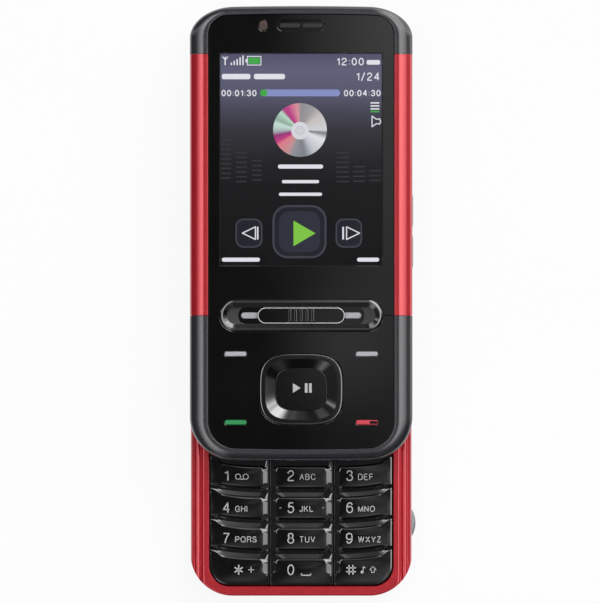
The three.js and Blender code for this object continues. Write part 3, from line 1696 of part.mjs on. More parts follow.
addBaseFrame();
addEndCap();
addRearShell();
addBatteryCover();
addBattery();
addHousingScrews();
addMainBoard();
addShieldCan();
addKeypadMat();
addDeck();
addRailPlate();
addSpring();
addFlexCable();
addCamera();
addSounders();
addConnectors();
addSideControls();
addKeys();
addRim();
addSliderFrame();
addCarrier();
addFace();
addDisplay();
addEarpieceAndSensor();
addMusicKey();
addSliderBoard();
addFaceKeys();
addNavi();

export default phone;
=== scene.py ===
"""Looks of a slider phone with a music key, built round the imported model. Sizes are in millimetres."""

import json
import math
from collections import namedtuple

import bmesh
import bpy
from mathutils import Matrix

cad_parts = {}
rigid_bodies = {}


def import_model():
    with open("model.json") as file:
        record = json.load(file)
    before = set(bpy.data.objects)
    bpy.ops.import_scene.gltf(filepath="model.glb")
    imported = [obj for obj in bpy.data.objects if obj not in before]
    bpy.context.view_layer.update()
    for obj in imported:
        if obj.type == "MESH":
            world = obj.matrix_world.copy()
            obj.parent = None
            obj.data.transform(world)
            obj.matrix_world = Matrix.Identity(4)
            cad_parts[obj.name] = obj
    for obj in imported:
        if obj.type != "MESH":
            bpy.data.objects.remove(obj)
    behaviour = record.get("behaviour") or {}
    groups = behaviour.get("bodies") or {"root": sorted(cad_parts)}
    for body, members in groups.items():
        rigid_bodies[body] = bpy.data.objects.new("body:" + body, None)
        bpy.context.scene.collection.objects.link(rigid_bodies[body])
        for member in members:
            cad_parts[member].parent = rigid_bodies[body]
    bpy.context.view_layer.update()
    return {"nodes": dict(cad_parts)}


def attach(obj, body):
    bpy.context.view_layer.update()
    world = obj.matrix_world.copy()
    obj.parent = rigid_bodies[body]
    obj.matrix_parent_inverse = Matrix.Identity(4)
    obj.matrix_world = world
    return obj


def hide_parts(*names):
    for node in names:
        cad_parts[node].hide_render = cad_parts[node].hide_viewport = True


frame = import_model()
scene = bpy.context.scene
MM = 0.001

# Body sizes, the same as in the part's source.
BODY_WIDTH = 48.2
BODY_LENGTH = 98.5
BASE_TOP = 9.2
SLIDER_UNDERSIDE = 9.5
SLIDER_THICKNESS = 7.5
SLIDE_TRAVEL = 29.5
SEAM = 0.1
FIT = 0.15
SHELL_WALL = 1.4
FACE_DROP = 0.25
FACE_THICKNESS = 1.0
FACE_TOP = SLIDER_UNDERSIDE + SLIDER_THICKNESS - FACE_DROP
FACE_UNDERSIDE = FACE_TOP - FACE_THICKNESS
END_Y = BODY_LENGTH / 2
CAP_SEAM_Y = 38.8
FACE_SEAM_Y = -17.75
BOTTOM_BAND = 2.1
KEYPAD_HALF = 20.04
KEYPAD_BOTTOM_Y = -END_Y + BOTTOM_BAND
KEYPAD_CORNER = 4.4
DECK_EDGE_Y = -18.45
COVER_END_Y = 19.0
FRAME_UNDERSIDE = 3.4
FLANGE_UNDERSIDE = 7.4
DECK_TOP = BASE_TOP - SEAM
SIDE_Z = (FRAME_UNDERSIDE + FLANGE_UNDERSIDE) / 2

# How finely the round forms are cut, and how near two points are one.
CORNER_STEPS = 40
END_STEPS = 24
ROUND_STEPS = 20
DOME_STEPS = 6
SHARP_ANGLE = math.radians(32)
PLATE_SHARP_ANGLE = math.radians(12)
MERGE = 0.002
FAR = 60.0
WHOLE = (-FAR, FAR)

# An outline by half its width, the y of its ends, the width and length of its corners at each end,
# and how far its ends bow out.
Plan = namedtuple("Plan", "half top bottom top_corner bottom_corner bow")
END_BOW = 0.4
CASE_CORNERS = ((9.5, 6.6), (9.2, 9.2))
CASE_PLAN = Plan(BODY_WIDTH / 2, END_Y, -END_Y, *CASE_CORNERS, END_BOW)
BASE_PLAN = CASE_PLAN._replace(bow=0)
FACE_HALF = 20.15
FACE_END_YS = (47.5, -46.7)
FACE_CORNERS = ((4.2, 4.2), (5.6, 5.6))
FACE_PLAN = Plan(FACE_HALF, *FACE_END_YS, *FACE_CORNERS, END_BOW)
KEYPAD_PLAN = Plan(KEYPAD_HALF, 0, KEYPAD_BOTTOM_Y, (SEAM, SEAM), (KEYPAD_CORNER, KEYPAD_CORNER), 0)


def smaller(plan, distance):
    """The same outline, drawn in by a distance all round."""

    def corner(radii):
        return tuple(max(radius - distance, SEAM / 2) for radius in radii)

    return Plan(
        plan.half - distance,
        plan.top - distance,
        plan.bottom + distance,
        corner(plan.top_corner),
        corner(plan.bottom_corner),
        plan.bow,
    )


def quarter(steps):
    """Angles from 0 to a right angle."""
    return [i / steps * math.pi / 2 for i in range(steps + 1)]


def end_run(plan, end, seam_y=None):
    """The outline round one end, anticlockwise, from seam to seam where a seam is given."""
    width, length = plan.top_corner if end > 0 else plan.bottom_corner
    edge = plan.top if end > 0 else plan.bottom
    reach = plan.half - width
    first = [
        (reach + width * math.cos(a), edge - end * length * (1 - math.sin(a)))
        for a in quarter(CORNER_STEPS)
    ]
    middle = [(reach * (1 - 2 * i / END_STEPS), edge) for i in range(1, END_STEPS)]
    second = [(-x, y) for x, y in reversed(first)]
    run = [(end * x, y - end * plan.bow * (x / plan.half) ** 2) for x, y in first + middle + second]
    if seam_y is None:
        return run
    return [(end * plan.half, seam_y), *run, (-end * plan.half, seam_y)]


def case_outline(plan):
    return end_run(plan, 1) + end_run(plan, -1)


def around(centre, size):
    return (centre - size / 2, centre + size / 2)


def rounded_box(xs, ys, radius):
    """A rectangle with round corners, anticlockwise."""
    points = []
    for turn in range(4):
        x = xs[1] - radius if turn in (0, 3) else xs[0] + radius
        y = ys[1] - radius if turn < 2 else ys[0] + radius
        for corner in quarter(ROUND_STEPS):
            angle = turn * math.pi / 2 + corner
            points.append((x + radius * math.cos(angle), y + radius * math.sin(angle)))
    return points


def stadium(centre, width, height):
    """A bar with round ends, lying or standing, anticlockwise."""
    return rounded_box(around(centre[0], width), around(centre[1], height), min(width, height) / 2)


def circle(centre, radius, steps=4 * ROUND_STEPS):
    turns = [2 * math.pi * i / steps for i in range(steps)]
    return [(centre[0] + radius * math.cos(a), centre[1] + radius * math.sin(a)) for a in turns]


SQUIRCLE_POWER = 3.4
SQUIRCLE_STEPS = 160


def squircle(centre, width, length):
    """A soft-cornered square whose sides bulge a little."""

    def reach(value):
        return math.copysign(abs(value) ** (2 / SQUIRCLE_POWER), value)

    turns = [(i + 0.5) / SQUIRCLE_STEPS * 2 * math.pi for i in range(SQUIRCLE_STEPS)]
    x, y = centre
    return [(x + width / 2 * reach(math.cos(a)), y + length / 2 * reach(math.sin(a))) for a in turns]


# These three give a function from an inset to the outline of a form drawn in by it.


def bar_at(centre, width, height):
    return lambda inset: stadium(centre, width - 2 * inset, height - 2 * inset)


def disc_at(centre, radius, steps=4 * ROUND_STEPS):
    return lambda inset: circle(centre, radius - inset, steps)


def squircle_at(centre, width, length):
    return lambda inset: squircle(centre, width - 2 * inset, length - 2 * inset)


def mix(a, b, share):
    return a + (b - a) * share


def between(outer, inner, share):
    return [(mix(p[0], q[0], share), mix(p[1], q[1], share)) for p, q in zip(outer, inner)]


def level(outline, z):
    return [(x, y, z) for x, y in outline]


def smooth_line(points, steps):
    """A smooth line through the given points."""
    line = []
    for i in range(len(points) - 1):
        around_here = [points[max(i - 1, 0)], points[i], points[i + 1], points[min(i + 2, len(points) - 1)]]
        for k in range(steps):
            t = k / steps
            line.append(
                tuple(
                    (
                        2 * b
                        + (c - a) * t
                        + (2 * a - 5 * b + 4 * c - d) * t**2
                        + (3 * b - a - 3 * c + d) * t**3
                    )
                    / 2
                    for a, b, c, d in zip(*around_here)
                )
            )
    return [*line, points[-1]]


def stack(rings, closed=False):
    """Points and faces of a skin over rings of equal count, capped at both ends unless closed."""
    count = len(rings[0])
    points = [p for ring in rings for p in ring]
    faces = []
    for r in range(len(rings) if closed else len(rings) - 1):
        low = r * count
        high = (r + 1) % len(rings) * count
        for i in range(count):
            after = (i + 1) % count
            faces.append((low + i, low + after, high + after, high + i))
    if not closed:
        last = (len(rings) - 1) * count
        faces.append(tuple(reversed(range(count))))
        faces.append(tuple(range(last, last + count)))
    return points, faces


def sweep(outer, inner, profile):
    """One closed section for each pair of outline points, joined along the outline and capped."""
    return stack(
        [
            [(mix(p[0], q[0], share), mix(p[1], q[1], share), z) for share, z in profile]
            for p, q in zip(outer, inner)
        ]
    )


def prism(outline, zs):
    return stack([level(outline, z) for z in zs])


def block(xs, ys, zs):
    return prism([(xs[0], ys[0]), (xs[1], ys[0]), (xs[1], ys[1]), (xs[0], ys[1])], zs)


def rod(centre, radius, zs):
    return prism(circle(centre, radius), zs)


def ring_at_y(centre, radius, y):
    return [(x, y, z) for x, z in circle(centre, radius)]


def rod_along_y(centre, radius, ys):
    return stack([ring_at_y(centre, radius, y) for y in ys])


def domed(outline_at, zs, edge, steps=DOME_STEPS):
    """A bar whose top edge is rounded off. outline_at gives the outline for an inset."""
    rings = [level(outline_at(0), zs[0])]
    for angle in quarter(steps):
        inset, drop = edge * (1 - math.cos(angle)), edge * (1 - math.sin(angle))
        rings.append(level(outline_at(inset), zs[1] - drop))
    rings.append(level(outline_at(edge * (1 + 1 / steps)), zs[1]))
    return stack(rings)


def domed_down(outline_at, zs, edge):
    """A bar whose bottom edge is rounded off."""
    points, faces = domed(outline_at, (-zs[1], -zs[0]), edge)
    return [(x, y, -z) for x, y, z in points], faces


def clean(mesh, whole=True):
    """Merges points that are one. A whole skin also gets its normals outward."""
    work = bmesh.new()
    work.from_mesh(mesh)
    bmesh.ops.remove_doubles(work, verts=work.verts, dist=MERGE * MM)
    if whole:
        bmesh.ops.dissolve_degenerate(work, edges=work.edges, dist=MERGE * MM / 2)
        bmesh.ops.recalc_face_normals(work, faces=work.faces)
    work.to_mesh(mesh)
    work.free()
    return mesh


def raw_mesh(name, parts):
    """A mesh from one or more pairs of points and faces, with its normals outward."""
    points, faces = [], []
    for some_points, some_faces in parts:
        start = len(points)
        points += [(x * MM, y * MM, z * MM) for x, y, z in some_points]
        faces += [tuple(start + i for i in face) for face in some_faces]
    mesh = bpy.data.meshes.new(name)
    mesh.from_pydata(points, [], faces)
    return clean(mesh)


def parts_of(mesh):
    """Points and faces of a mesh, in millimetres."""
    points = [tuple(value / MM for value in vertex.co) for vertex in mesh.vertices]
    return points, [tuple(face.vertices) for face in mesh.polygons]


def linked(name, data):
    made = bpy.data.objects.new(name, data)
    scene.collection.objects.link(made)
    return made


def carved(name, solid, tools, joined=()):
    """The mesh of a solid with other solids joined to it and the tools cut out of it."""
    target = linked(name, raw_mesh(name, [solid]))
    helpers = []
    for operation, parts in (("UNION", joined), ("DIFFERENCE", tools)):
        for part in parts:
            helpers.append(linked("helper", raw_mesh("helper", [part])))
            modifier = target.modifiers.new("cut", "BOOLEAN")
            modifier.operation = operation
            modifier.solver = "EXACT"
            modifier.object = helpers[-1]
    shown = target.evaluated_get(bpy.context.evaluated_depsgraph_get())
    mesh = bpy.data.meshes.new_from_object(shown)
    for helper in [target, *helpers]:
        old = helper.data
        bpy.data.objects.remove(helper)
        bpy.data.meshes.remove(old)
    mesh.name = name
    return mesh


def plate_mesh(name, outlines, zs, edge):
    """A flat plate from an outer outline and its holes, with its edges rounded."""
    curve = bpy.data.curves.new(name, "CURVE")
    curve.dimensions = "2D"
    curve.fill_mode = "BOTH"
    curve.extrude = ((zs[1] - zs[0]) / 2 - edge) * MM
    curve.bevel_depth = edge * MM
    curve.bevel_resolution = 1
    curve.offset = -edge * MM
    for outline in outlines:
        spline = curve.splines.new("POLY")
        spline.points.add(len(outline) - 1)
        for point, (x, y) in zip(spline.points, outline):
            point.co = (x * MM, y * MM, 0, 1)
        spline.use_cyclic_u = True
    holder = linked(name, curve)
    shown = holder.evaluated_get(bpy.context.evaluated_depsgraph_get())
    mesh = bpy.data.meshes.new_from_object(shown)
    bpy.data.objects.remove(holder)
    bpy.data.curves.remove(curve)
    mesh.transform(Matrix.Translation((0, 0, (zs[0] + zs[1]) / 2 * MM)))
    return clean(mesh, whole=False)


def smooth(mesh, angle=SHARP_ANGLE):
    mesh.shade_smooth()
    mesh.set_sharp_from_angle(angle=angle)


FACE_KEY_BODIES = ("left_soft_key", "right_soft_key", "call_key", "end_key")
SLIDER_BODIES = {"slider", "music_slide_key", "navi_ring", "select_key", *FACE_KEY_BODIES}


def ride(name, mesh, material, body):
    """Puts a mesh in the scene as one piece that rides on a body. What rides on the slider is given in
    the slider's own place and shown slid open."""
    piece = linked(name, mesh)
    if body in SLIDER_BODIES:
        mesh.transform(Matrix.Translation((0, SLIDE_TRAVEL * MM, 0)))
    mesh.materials.clear()
    mesh.materials.append(material)
    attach(piece, body)
    return piece


def show(name, shape, finish, body, node=None, angle=SHARP_ANGLE):
    """A smooth piece from a mesh, or from parts, with the given finish. With a node given it is shown
    instead of that node, which is hidden."""
    mesh = raw_mesh(name, shape) if isinstance(shape, list) else shape
    smooth(mesh, angle)
    piece = ride(name, mesh, FINISHES[finish], body)
    if node:
        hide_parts(node)
    return piece


def show_print(name, parts, material, body):
    """Thin print: flat faces that look up."""
    mesh = raw_mesh(name, parts)
    for polygon in mesh.polygons:
        if polygon.normal.z < 0:
            polygon.flip()
    ride(name, mesh, material, body)


# Materials. Each one starts from a principled shader and adds its own pattern.


def linear(colour):
    """Linear light for a colour given as screen values from 0 to 255."""
    out = []
    for value in colour:
        c = value / 255
        out.append(c / 12.92 if c <= 0.04045 else ((c + 0.055) / 1.055) ** 2.4)
    return (*out, 1)


class Nodes:
    """A node tree under construction, with short ways to add nodes."""

    def __init__(self, tree):
        self.tree = tree

    def node(self, kind, **settings):
        made = self.tree.nodes.new("ShaderNode" + kind)
        for key, value in settings.items():
            setattr(made, key, value)
        return made

    def feed(self, value, socket):
        """A socket's value: a number, a colour, or what another node gives."""
        if isinstance(value, bpy.types.NodeSocket):
            self.tree.links.new(value, socket)
        else:
            socket.default_value = value

    def fill(self, node, out, **values):
        """Feeds a node's sockets, named with _ for a space, and returns one of its outputs."""
        for key, value in values.items():
            self.feed(value, node.inputs[key.replace("_", " ")])
        return node.outputs[out]

    def math(self, operation, *values):
        made = self.node("Math", operation=operation)
        for value, socket in zip(values, made.inputs):
            self.feed(value, socket)
        return made.outputs["Value"]

    def both(self, share, first, second):
        made = self.node("MixShader")
        for value, socket in zip((share, first, second), made.inputs):
            self.feed(value, socket)
        return made.outputs["Shader"]

    def colours(self, source, stops):
        made = self.node("ValToRGB")
        ramp = made.color_ramp
        while len(ramp.elements) < len(stops):
            ramp.elements.new(0.5)
        for element, (position, colour) in zip(ramp.elements, stops):
            element.position = position
            element.color = colour
        self.feed(source, made.inputs["Fac"])
        return made.outputs["Color"]


class Finish(Nodes):
    """A material under construction."""

    def __init__(self, name, colour, roughness, metallic=0.0, specular=0.5):
        self.material = bpy.data.materials.new(name)
        self.material.use_nodes = True
        super().__init__(self.material.node_tree)
        self.shader = self.tree.nodes["Principled BSDF"]
        self.put("Base Color", linear(colour))
        self.put("Roughness", roughness)
        self.put("Metallic", metallic)
        self.put("Specular IOR Level", specular)
        self.colour = colour
        self.roughness = roughness

    def put(self, socket, value):
        self.feed(value, self.shader.inputs[socket])

    def surface(self, shader):
        self.feed(shader, self.tree.nodes["Material Output"].inputs["Surface"])

    def place(self):
        """Object coordinates in metres."""
        return self.node("TexCoord").outputs["Object"]

    def noise(self, size, detail=3.0, stretch=None):
        """Noise whose grains are about size millimetres across."""
        source = self.place()
        if stretch:
            source = self.fill(self.node("Mapping"), "Vector", Vector=source, Scale=stretch)
        texture = self.node("TexNoise")
        return self.fill(texture, "Fac", Vector=source, Scale=1 / (size * MM), Detail=detail)

    def ramp(self, source, stops):
        return self.colours(source, [(position, linear(colour)) for position, colour in stops])

    def spread(self, source, low, high):
        """The source's middle range, moved to low to high."""
        made = self.node("MapRange")
        return self.fill(
            made, "Result", Value=source, From_Min=0.3, From_Max=0.7, To_Min=low, To_Max=high
        )

    def bump(self, source, strength, height=0.02):
        made = self.node("Bump")
        self.put("Normal", self.fill(made, "Normal", Height=source, Strength=strength, Distance=height * MM))

    def vary(self, grain, amount, rough_amount):
        """Small changes of colour and roughness over the surface."""
        source = self.noise(grain)
        darker = tuple(max(c * (1 - amount), 0) for c in self.colour)
        lighter = tuple(min(c * (1 + amount), 255) for c in self.colour)
        self.put("Base Color", self.ramp(source, [(0.3, darker), (0.7, lighter)]))
        low = max(self.roughness - rough_amount, 0.02)
        self.put("Roughness", self.spread(source, low, self.roughness + rough_amount))

    def coat(self, roughness, ior=1.5):
        self.put("Coat Weight", 1.0)
        self.put("Coat Roughness", roughness)
        self.put("Coat IOR", ior)

    def glow(self, colour, strength):
        self.put("Emission Color", colour)
        self.put("Emission Strength", strength)


def plain(name, colour, roughness, grain, amount, rough_amount, bump=None, **kind):
    """A finish that varies a little over the surface. grain is the size of its spots in millimetres,
    and the amounts say how much they change. bump gives its own grain, detail and strength."""
    f = Finish(name, colour, roughness, **kind)
    f.vary(grain, amount, rough_amount)
    if bump:
        size, detail, strength = bump
        f.bump(f.noise(size, detail), strength)
    return f


def gloss(name, roughness, grain, amount, specular=0.95):
    """Polished black plastic under a strong clear coat."""
    f = plain(name, (5, 5, 6), roughness, grain, amount, 0.02, specular=specular)
    f.coat(roughness, 1.85)
    return f


def charcoal_plastic():
    f = Finish("charcoal_plastic", (36, 35, 41), 0.22, specular=1.0)
    stops = [(0.3, (29, 28, 34)), (0.52, (36, 35, 41)), (0.72, (50, 49, 57))]
    f.put("Base Color", f.ramp(f.noise(0.2, 2.0), stops))
    f.put("Roughness", f.spread(f.noise(0.5), 0.16, 0.21))
    f.bump(f.noise(0.12, 1.0), 0.25)
    return f


def red_paint():
    f = Finish("red_paint", (190, 24, 40), 0.22, metallic=0.45)
    stops = [(0.3, (176, 18, 34)), (0.55, (190, 24, 40)), (0.74, (208, 36, 52))]
    f.put("Base Color", f.ramp(f.noise(0.09, 1.0), stops))
    f.put("Roughness", f.spread(f.noise(1.5), 0.2, 0.25))
    f.coat(0.16)
    f.bump(f.noise(0.1, 1.0), 0.06, 0.01)
    return f


def clear_pane():
    """A clear window: it lets what is under it through and adds a reflection."""
    f = Finish("clear_window", (8, 8, 9), 0.05, specular=0.3)
    clear = f.fill(f.node("BsdfTransparent"), "BSDF", Color=linear((250, 250, 252)))
    shine = f.fill(f.node("BsdfGlossy"), "BSDF", Roughness=0.04)
    fresnel = f.fill(f.node("Fresnel"), "Fac", IOR=1.25)
    outer = f.math("SUBTRACT", 1.0, f.node("NewGeometry").outputs["Backfacing"])
    f.surface(f.both(f.math("MULTIPLY", fresnel, outer), clear, shine))
    return f


def brushed(name, colour, metallic, grain, colours, roughs):
    f = Finish(name, colour, 0.34, metallic=metallic)
    source = f.noise(*grain)
    f.put("Base Color", f.ramp(source, [(0.3, colours[0]), (0.7, colours[1])]))
    f.put("Roughness", f.spread(source, *roughs))
    return f


def board_green():
    """Solder mask with faint copper tracks below it."""
    f = Finish("board_green", (31, 90, 58), 0.4)
    tracks = f.fill(
        f.node("TexBrick"),
        "Color",
        Vector=f.place(),
        Scale=1 / (COPPER_PITCH * MM),
        Mortar_Size=0.03,
        Color1=linear((24, 76, 48)),
        Color2=linear((30, 92, 58)),
        Mortar=linear((96, 128, 66)),
    )
    f.put("Base Color", tracks)
    f.put("Roughness", f.spread(f.noise(2.0), 0.32, 0.46))
    return f


def lit(name, colour):
    """A translucent plastic that is dimly lit from below."""
    f = plain(name, colour, 0.4, 1.2, 0.04, 0.05)
    f.glow(linear(colour), 0.12)
    return f


def legend_paint():
    f = plain("legend_paint", (176, 176, 178), 0.5, 0.4, 0.05, 0.05)
    f.glow(linear((176, 176, 178)), 0.1)
    return f


def lens_glass():
    f = plain("lens_glass", (9, 11, 26), 0.04, 1.5, 0.3, 0.01, specular=0.8)
    f.coat(0.02)
    return f


def flash_window():
    f = plain("flash_window", (214, 216, 210), 0.15, 0.3, 0.05, 0.04, metallic=0.3)
    f.bump(f.noise(0.4, 1.0, (1, 6, 1)), 0.4, 0.05)
    return f


STEEL_COLOURS = ((150, 153, 158), (184, 187, 192))
SILVER_COLOURS = ((124, 124, 128), (142, 142, 146))
STEEL_GRAIN = (0.5, 4.0, (12, 1, 1))
SILVER_GRAIN = (2.5, 1.0)
COPPER_PITCH = 3.0

# By slot, and after the slots those that only some pieces have.
FINISHES = {
    "red_metal": red_paint(),
    "charcoal": charcoal_plastic(),
    "back_black": plain(
        "black_satin", (17, 17, 19), 0.45, 0.3, 0.12, 0.06, (0.16, 2.0, 0.3), specular=0.4
    ),
    "gloss_black": gloss("black_gloss", 0.05, 14.0, 0.25, 0.9),
    "key_black": gloss("key_gloss", 0.06, 3.0, 0.15),
    "clear_pane": clear_pane(),
    "screen_glass": plain("screen_glass", (20, 20, 24), 0.25, 8.0, 0.1, 0.03),
    "steel": brushed("steel", (168, 171, 176), 0.95, STEEL_GRAIN, STEEL_COLOURS, (0.28, 0.42)),
    "inner_plastic": plain(
        "inner_plastic", (44, 45, 48), 0.6, 0.8, 0.12, 0.05, (0.2, 2.0, 0.2), specular=0.3
    ),
    "board_green": board_green(),
    "rubber": plain("rubber", (58, 58, 61), 0.8, 0.6, 0.12, 0.05, (0.2, 2.0, 0.3), specular=0.25),
    "lit_white": lit("lit_white", (162, 162, 168)),
    "call_green": lit("call_green", (8, 132, 66)),
    "end_red": lit("end_red", (190, 50, 64)),
    "silver": brushed("silver", (132, 132, 136), 0.8, SILVER_GRAIN, SILVER_COLOURS, (0.32, 0.37)),
    "battery_grey": plain("battery_grey", (139, 142, 147), 0.45, 2.5, 0.05, 0.06, metallic=0.1),
    "copper": plain("copper", (184, 116, 68), 0.35, 0.8, 0.1, 0.08, metallic=0.9),
    "sensor_brown": plain("sensor_brown", (66, 48, 40), 0.3, 0.9, 0.08, 0.05),
    "navi": gloss("navi_gloss", 0.09, 5.0, 0.12),
    "dish": plain("dark_dish", (30, 30, 32), 0.4, 0.4, 0.1, 0.05, specular=0.4),
    # Painted shade: the flat ledges round each key pad get this dull near-black finish without the keys'
    # gloss, so these recesses stay dark as if shaded.
    "trough": plain("key_ledge_painted_shade", (5, 5, 6), 0.3, 1.0, 0.2, 0.04, specular=0.15),
    "edge": plain("bright_edge", (205, 205, 208), 0.38, 2.0, 0.03, 0.03, metallic=0.6),
    "legend": legend_paint(),
    "lens": lens_glass(),
    "flash": flash_window(),
}
FINISHES = {slot: finish.material for slot, finish in FINISHES.items()}


def finish_nodes():
    """Every carried-over node gets its slot's material and smooth shading."""
    for node in frame["nodes"].values():
        smooth(node.data)
        for place in node.material_slots:
            place.material = FINISHES[place.material.name.split(".")[0]]


def repaint(piece, finish, chosen):
    """Gives the faces that chosen picks a second finish. It sees a face's middle and how much it looks up."""
    piece.data.materials.append(FINISHES[finish])
    for polygon in piece.data.polygons:
        if chosen(*(value / MM for value in polygon.center), polygon.normal.z):
            polygon.material_index = 1


# Slider: the rim of two caps and two rails round the face.

RIM_SHARES = [
    (0.18, 0), (0.04, 0.08), (0, 0.23), (0, 0.7), (0.015, 0.79), (0.06, 0.86), (0.13, 0.902), (0.22, 0.932),
    (0.34, 0.958), (0.46, 0.976), (0.58, 0.989), (0.68, 0.996), (0.76, 1), (0.9, 1), (0.985, 1), (1, 0.985),
]
RIM_FRAME_SHARE = 0.62
RIM_LIP = FACE_UNDERSIDE - SEAM
LINE_STEPS = 4


def rim_profile():
    shell = [
        (across, SLIDER_UNDERSIDE + SLIDER_THICKNESS * up)
        for across, up in smooth_line(RIM_SHARES, LINE_STEPS)
    ]
    return [*shell, (1, RIM_LIP), (RIM_FRAME_SHARE, RIM_LIP), (RIM_FRAME_SHARE, SLIDER_UNDERSIDE)]


def add_rim():
    profile = rim_profile()
    for name, end, seam_y in (("top", 1, CAP_SEAM_Y + SEAM / 2), ("bottom", -1, FACE_SEAM_Y - SEAM / 2)):
        skin = sweep(end_run(CASE_PLAN, end, seam_y), end_run(FACE_PLAN, end, seam_y), profile)
        show(name + "_cap_shell", [skin], "charcoal", "slider", f"slider_{name}_cap")
    ys = (FACE_SEAM_Y + SEAM / 2, CAP_SEAM_Y - SEAM / 2)
    for name, side in (("left", -1), ("right", 1)):
        outer, inner = ([(side * plan.half, y) for y in ys] for plan in (CASE_PLAN, FACE_PLAN))
        skin = sweep(outer, inner, profile)
        show(name + "_rail_shell", [skin], "red_metal", "slider", "slider_rail_" + name)


# Slider: the face plates and what shows through them.

DISPLAY_WIDTH = 34.9
DISPLAY_LENGTH = 45.85
DISPLAY_Y = 16.0
TOP_ROW_Y = 44.95
SENSOR_AT = (-8.2, TOP_ROW_Y)
SENSOR_WIDTH = 1.9
SENSOR_LENGTH = 2.3
SENSOR_FOOT = 15.35
SENSOR_EDGE = 0.25
EAR_AT = (0, TOP_ROW_Y)
EAR_WIDTH = 10.4
EAR_LENGTH = 2.3
MUSIC_AT = (0, FACE_SEAM_Y)
BEZEL_WIDTH = 35.2
BEZEL_LENGTH = 6.8
NAVI_Y = -33.7
NAVI_AT = (0, NAVI_Y)
NAVI_WIDTH = 17.9
NAVI_LENGTH = 15.3
SELECT_WIDTH = 11.1
SELECT_LENGTH = 9.0
BAR_X = 14.2
BAR_WIDTH = 4.7
BAR_LENGTH = 0.95
SOFT_ROW_UP = 7.65
CALL_ROW_DOWN = 7.15
SOFT_Y = NAVI_Y + SOFT_ROW_UP
CALL_Y = NAVI_Y - CALL_ROW_DOWN
FACE_EDGE = 0.08
FACE_KEYS = [
    ("left_soft_key", (-BAR_X, SOFT_Y), "lit_white"),
    ("right_soft_key", (BAR_X, SOFT_Y), "lit_white"),
    ("call_key", (-BAR_X, CALL_Y), "call_green"),
    ("end_key", (BAR_X, CALL_Y), "end_red"),
]


def hole(centre, width, length):
    """The hole in the face for a bar."""
    return stadium(centre, width + 2 * SEAM, length + 2 * SEAM)


def half_bezel_hole(end):
    """The bezel's hole on one side of the face seam, from left to right as seen along the seam."""
    seam_y = FACE_SEAM_Y + end * SEAM / 2
    outline = hole(MUSIC_AT, BEZEL_WIDTH, BEZEL_LENGTH)
    kept = [p for p in outline if end * (p[1] - seam_y) > SEAM / 2]
    kept.sort(key=lambda p: end * p[0])
    edge = BEZEL_WIDTH / 2 + SEAM
    return [(-end * edge, seam_y), *kept, (end * edge, seam_y)]


def add_fascia():
    plan = smaller(FACE_PLAN, SEAM)
    display_xs = around(0, DISPLAY_WIDTH + 2 * SEAM)
    display_ys = around(DISPLAY_Y, DISPLAY_LENGTH + 2 * SEAM)
    upper = [
        end_run(plan, 1, FACE_SEAM_Y + SEAM / 2) + half_bezel_hole(1),
        rounded_box(display_xs, display_ys, SEAM),
        hole(SENSOR_AT, SENSOR_WIDTH, SENSOR_LENGTH),
        stadium(EAR_AT, EAR_WIDTH, EAR_LENGTH),
    ]
    lower = [
        end_run(plan, -1, FACE_SEAM_Y - SEAM / 2) + half_bezel_hole(-1),
        squircle(NAVI_AT, NAVI_WIDTH + 2 * FIT, NAVI_LENGTH + 2 * FIT),
        *(hole(at, BAR_WIDTH, BAR_LENGTH) for _, at, _ in FACE_KEYS),
    ]
    for half, outlines in (("upper", upper), ("lower", lower)):
        name = half + "_face_plate"
        mesh = plate_mesh(name, outlines, (FACE_UNDERSIDE, FACE_TOP), FACE_EDGE)
        show(name, mesh, "gloss_black", "slider", half + "_fascia", angle=PLATE_SHARP_ANGLE)


BAR_PROUD = 0.12
BAR_EDGE = 0.12
SKIRT = 1.1
SKIRT_THICKNESS = 0.45
SKIRT_TOP = FACE_UNDERSIDE - SEAM
KEY_STEM_RADIUS = 0.5
SLIDER_DOME_TOP = 14.05
FACE_KEY_TRAVEL = 0.25
STEM_FOOT = SLIDER_DOME_TOP + FACE_KEY_TRAVEL + SEAM
END_MARK_WIDTH = 1.75
END_MARK_LENGTH = 0.6
END_MARK_IN = 1.4
END_MARK_PROUD = 0.03


def add_face_keys():
    skirt_foot = SKIRT_TOP - SKIRT_THICKNESS
    for name, at, slot in FACE_KEYS:
        bar = domed(bar_at(at, BAR_WIDTH, BAR_LENGTH), (SKIRT_TOP, FACE_TOP + BAR_PROUD), BAR_EDGE)
        skirt = prism(stadium(at, BAR_WIDTH + SKIRT, BAR_LENGTH + SKIRT), (skirt_foot, SKIRT_TOP - MERGE))
        stem = rod(at, KEY_STEM_RADIUS, (STEM_FOOT, skirt_foot - MERGE))
        show(name + "_cap", [bar, skirt, stem], slot, name, name)
    outline = stadium((BAR_X + END_MARK_IN, CALL_Y), END_MARK_WIDTH, END_MARK_LENGTH)
    mark = prism(outline, (FACE_TOP, FACE_TOP + BAR_PROUD + END_MARK_PROUD))
    show("end_key_mark", [mark], "gloss_black", "end_key")


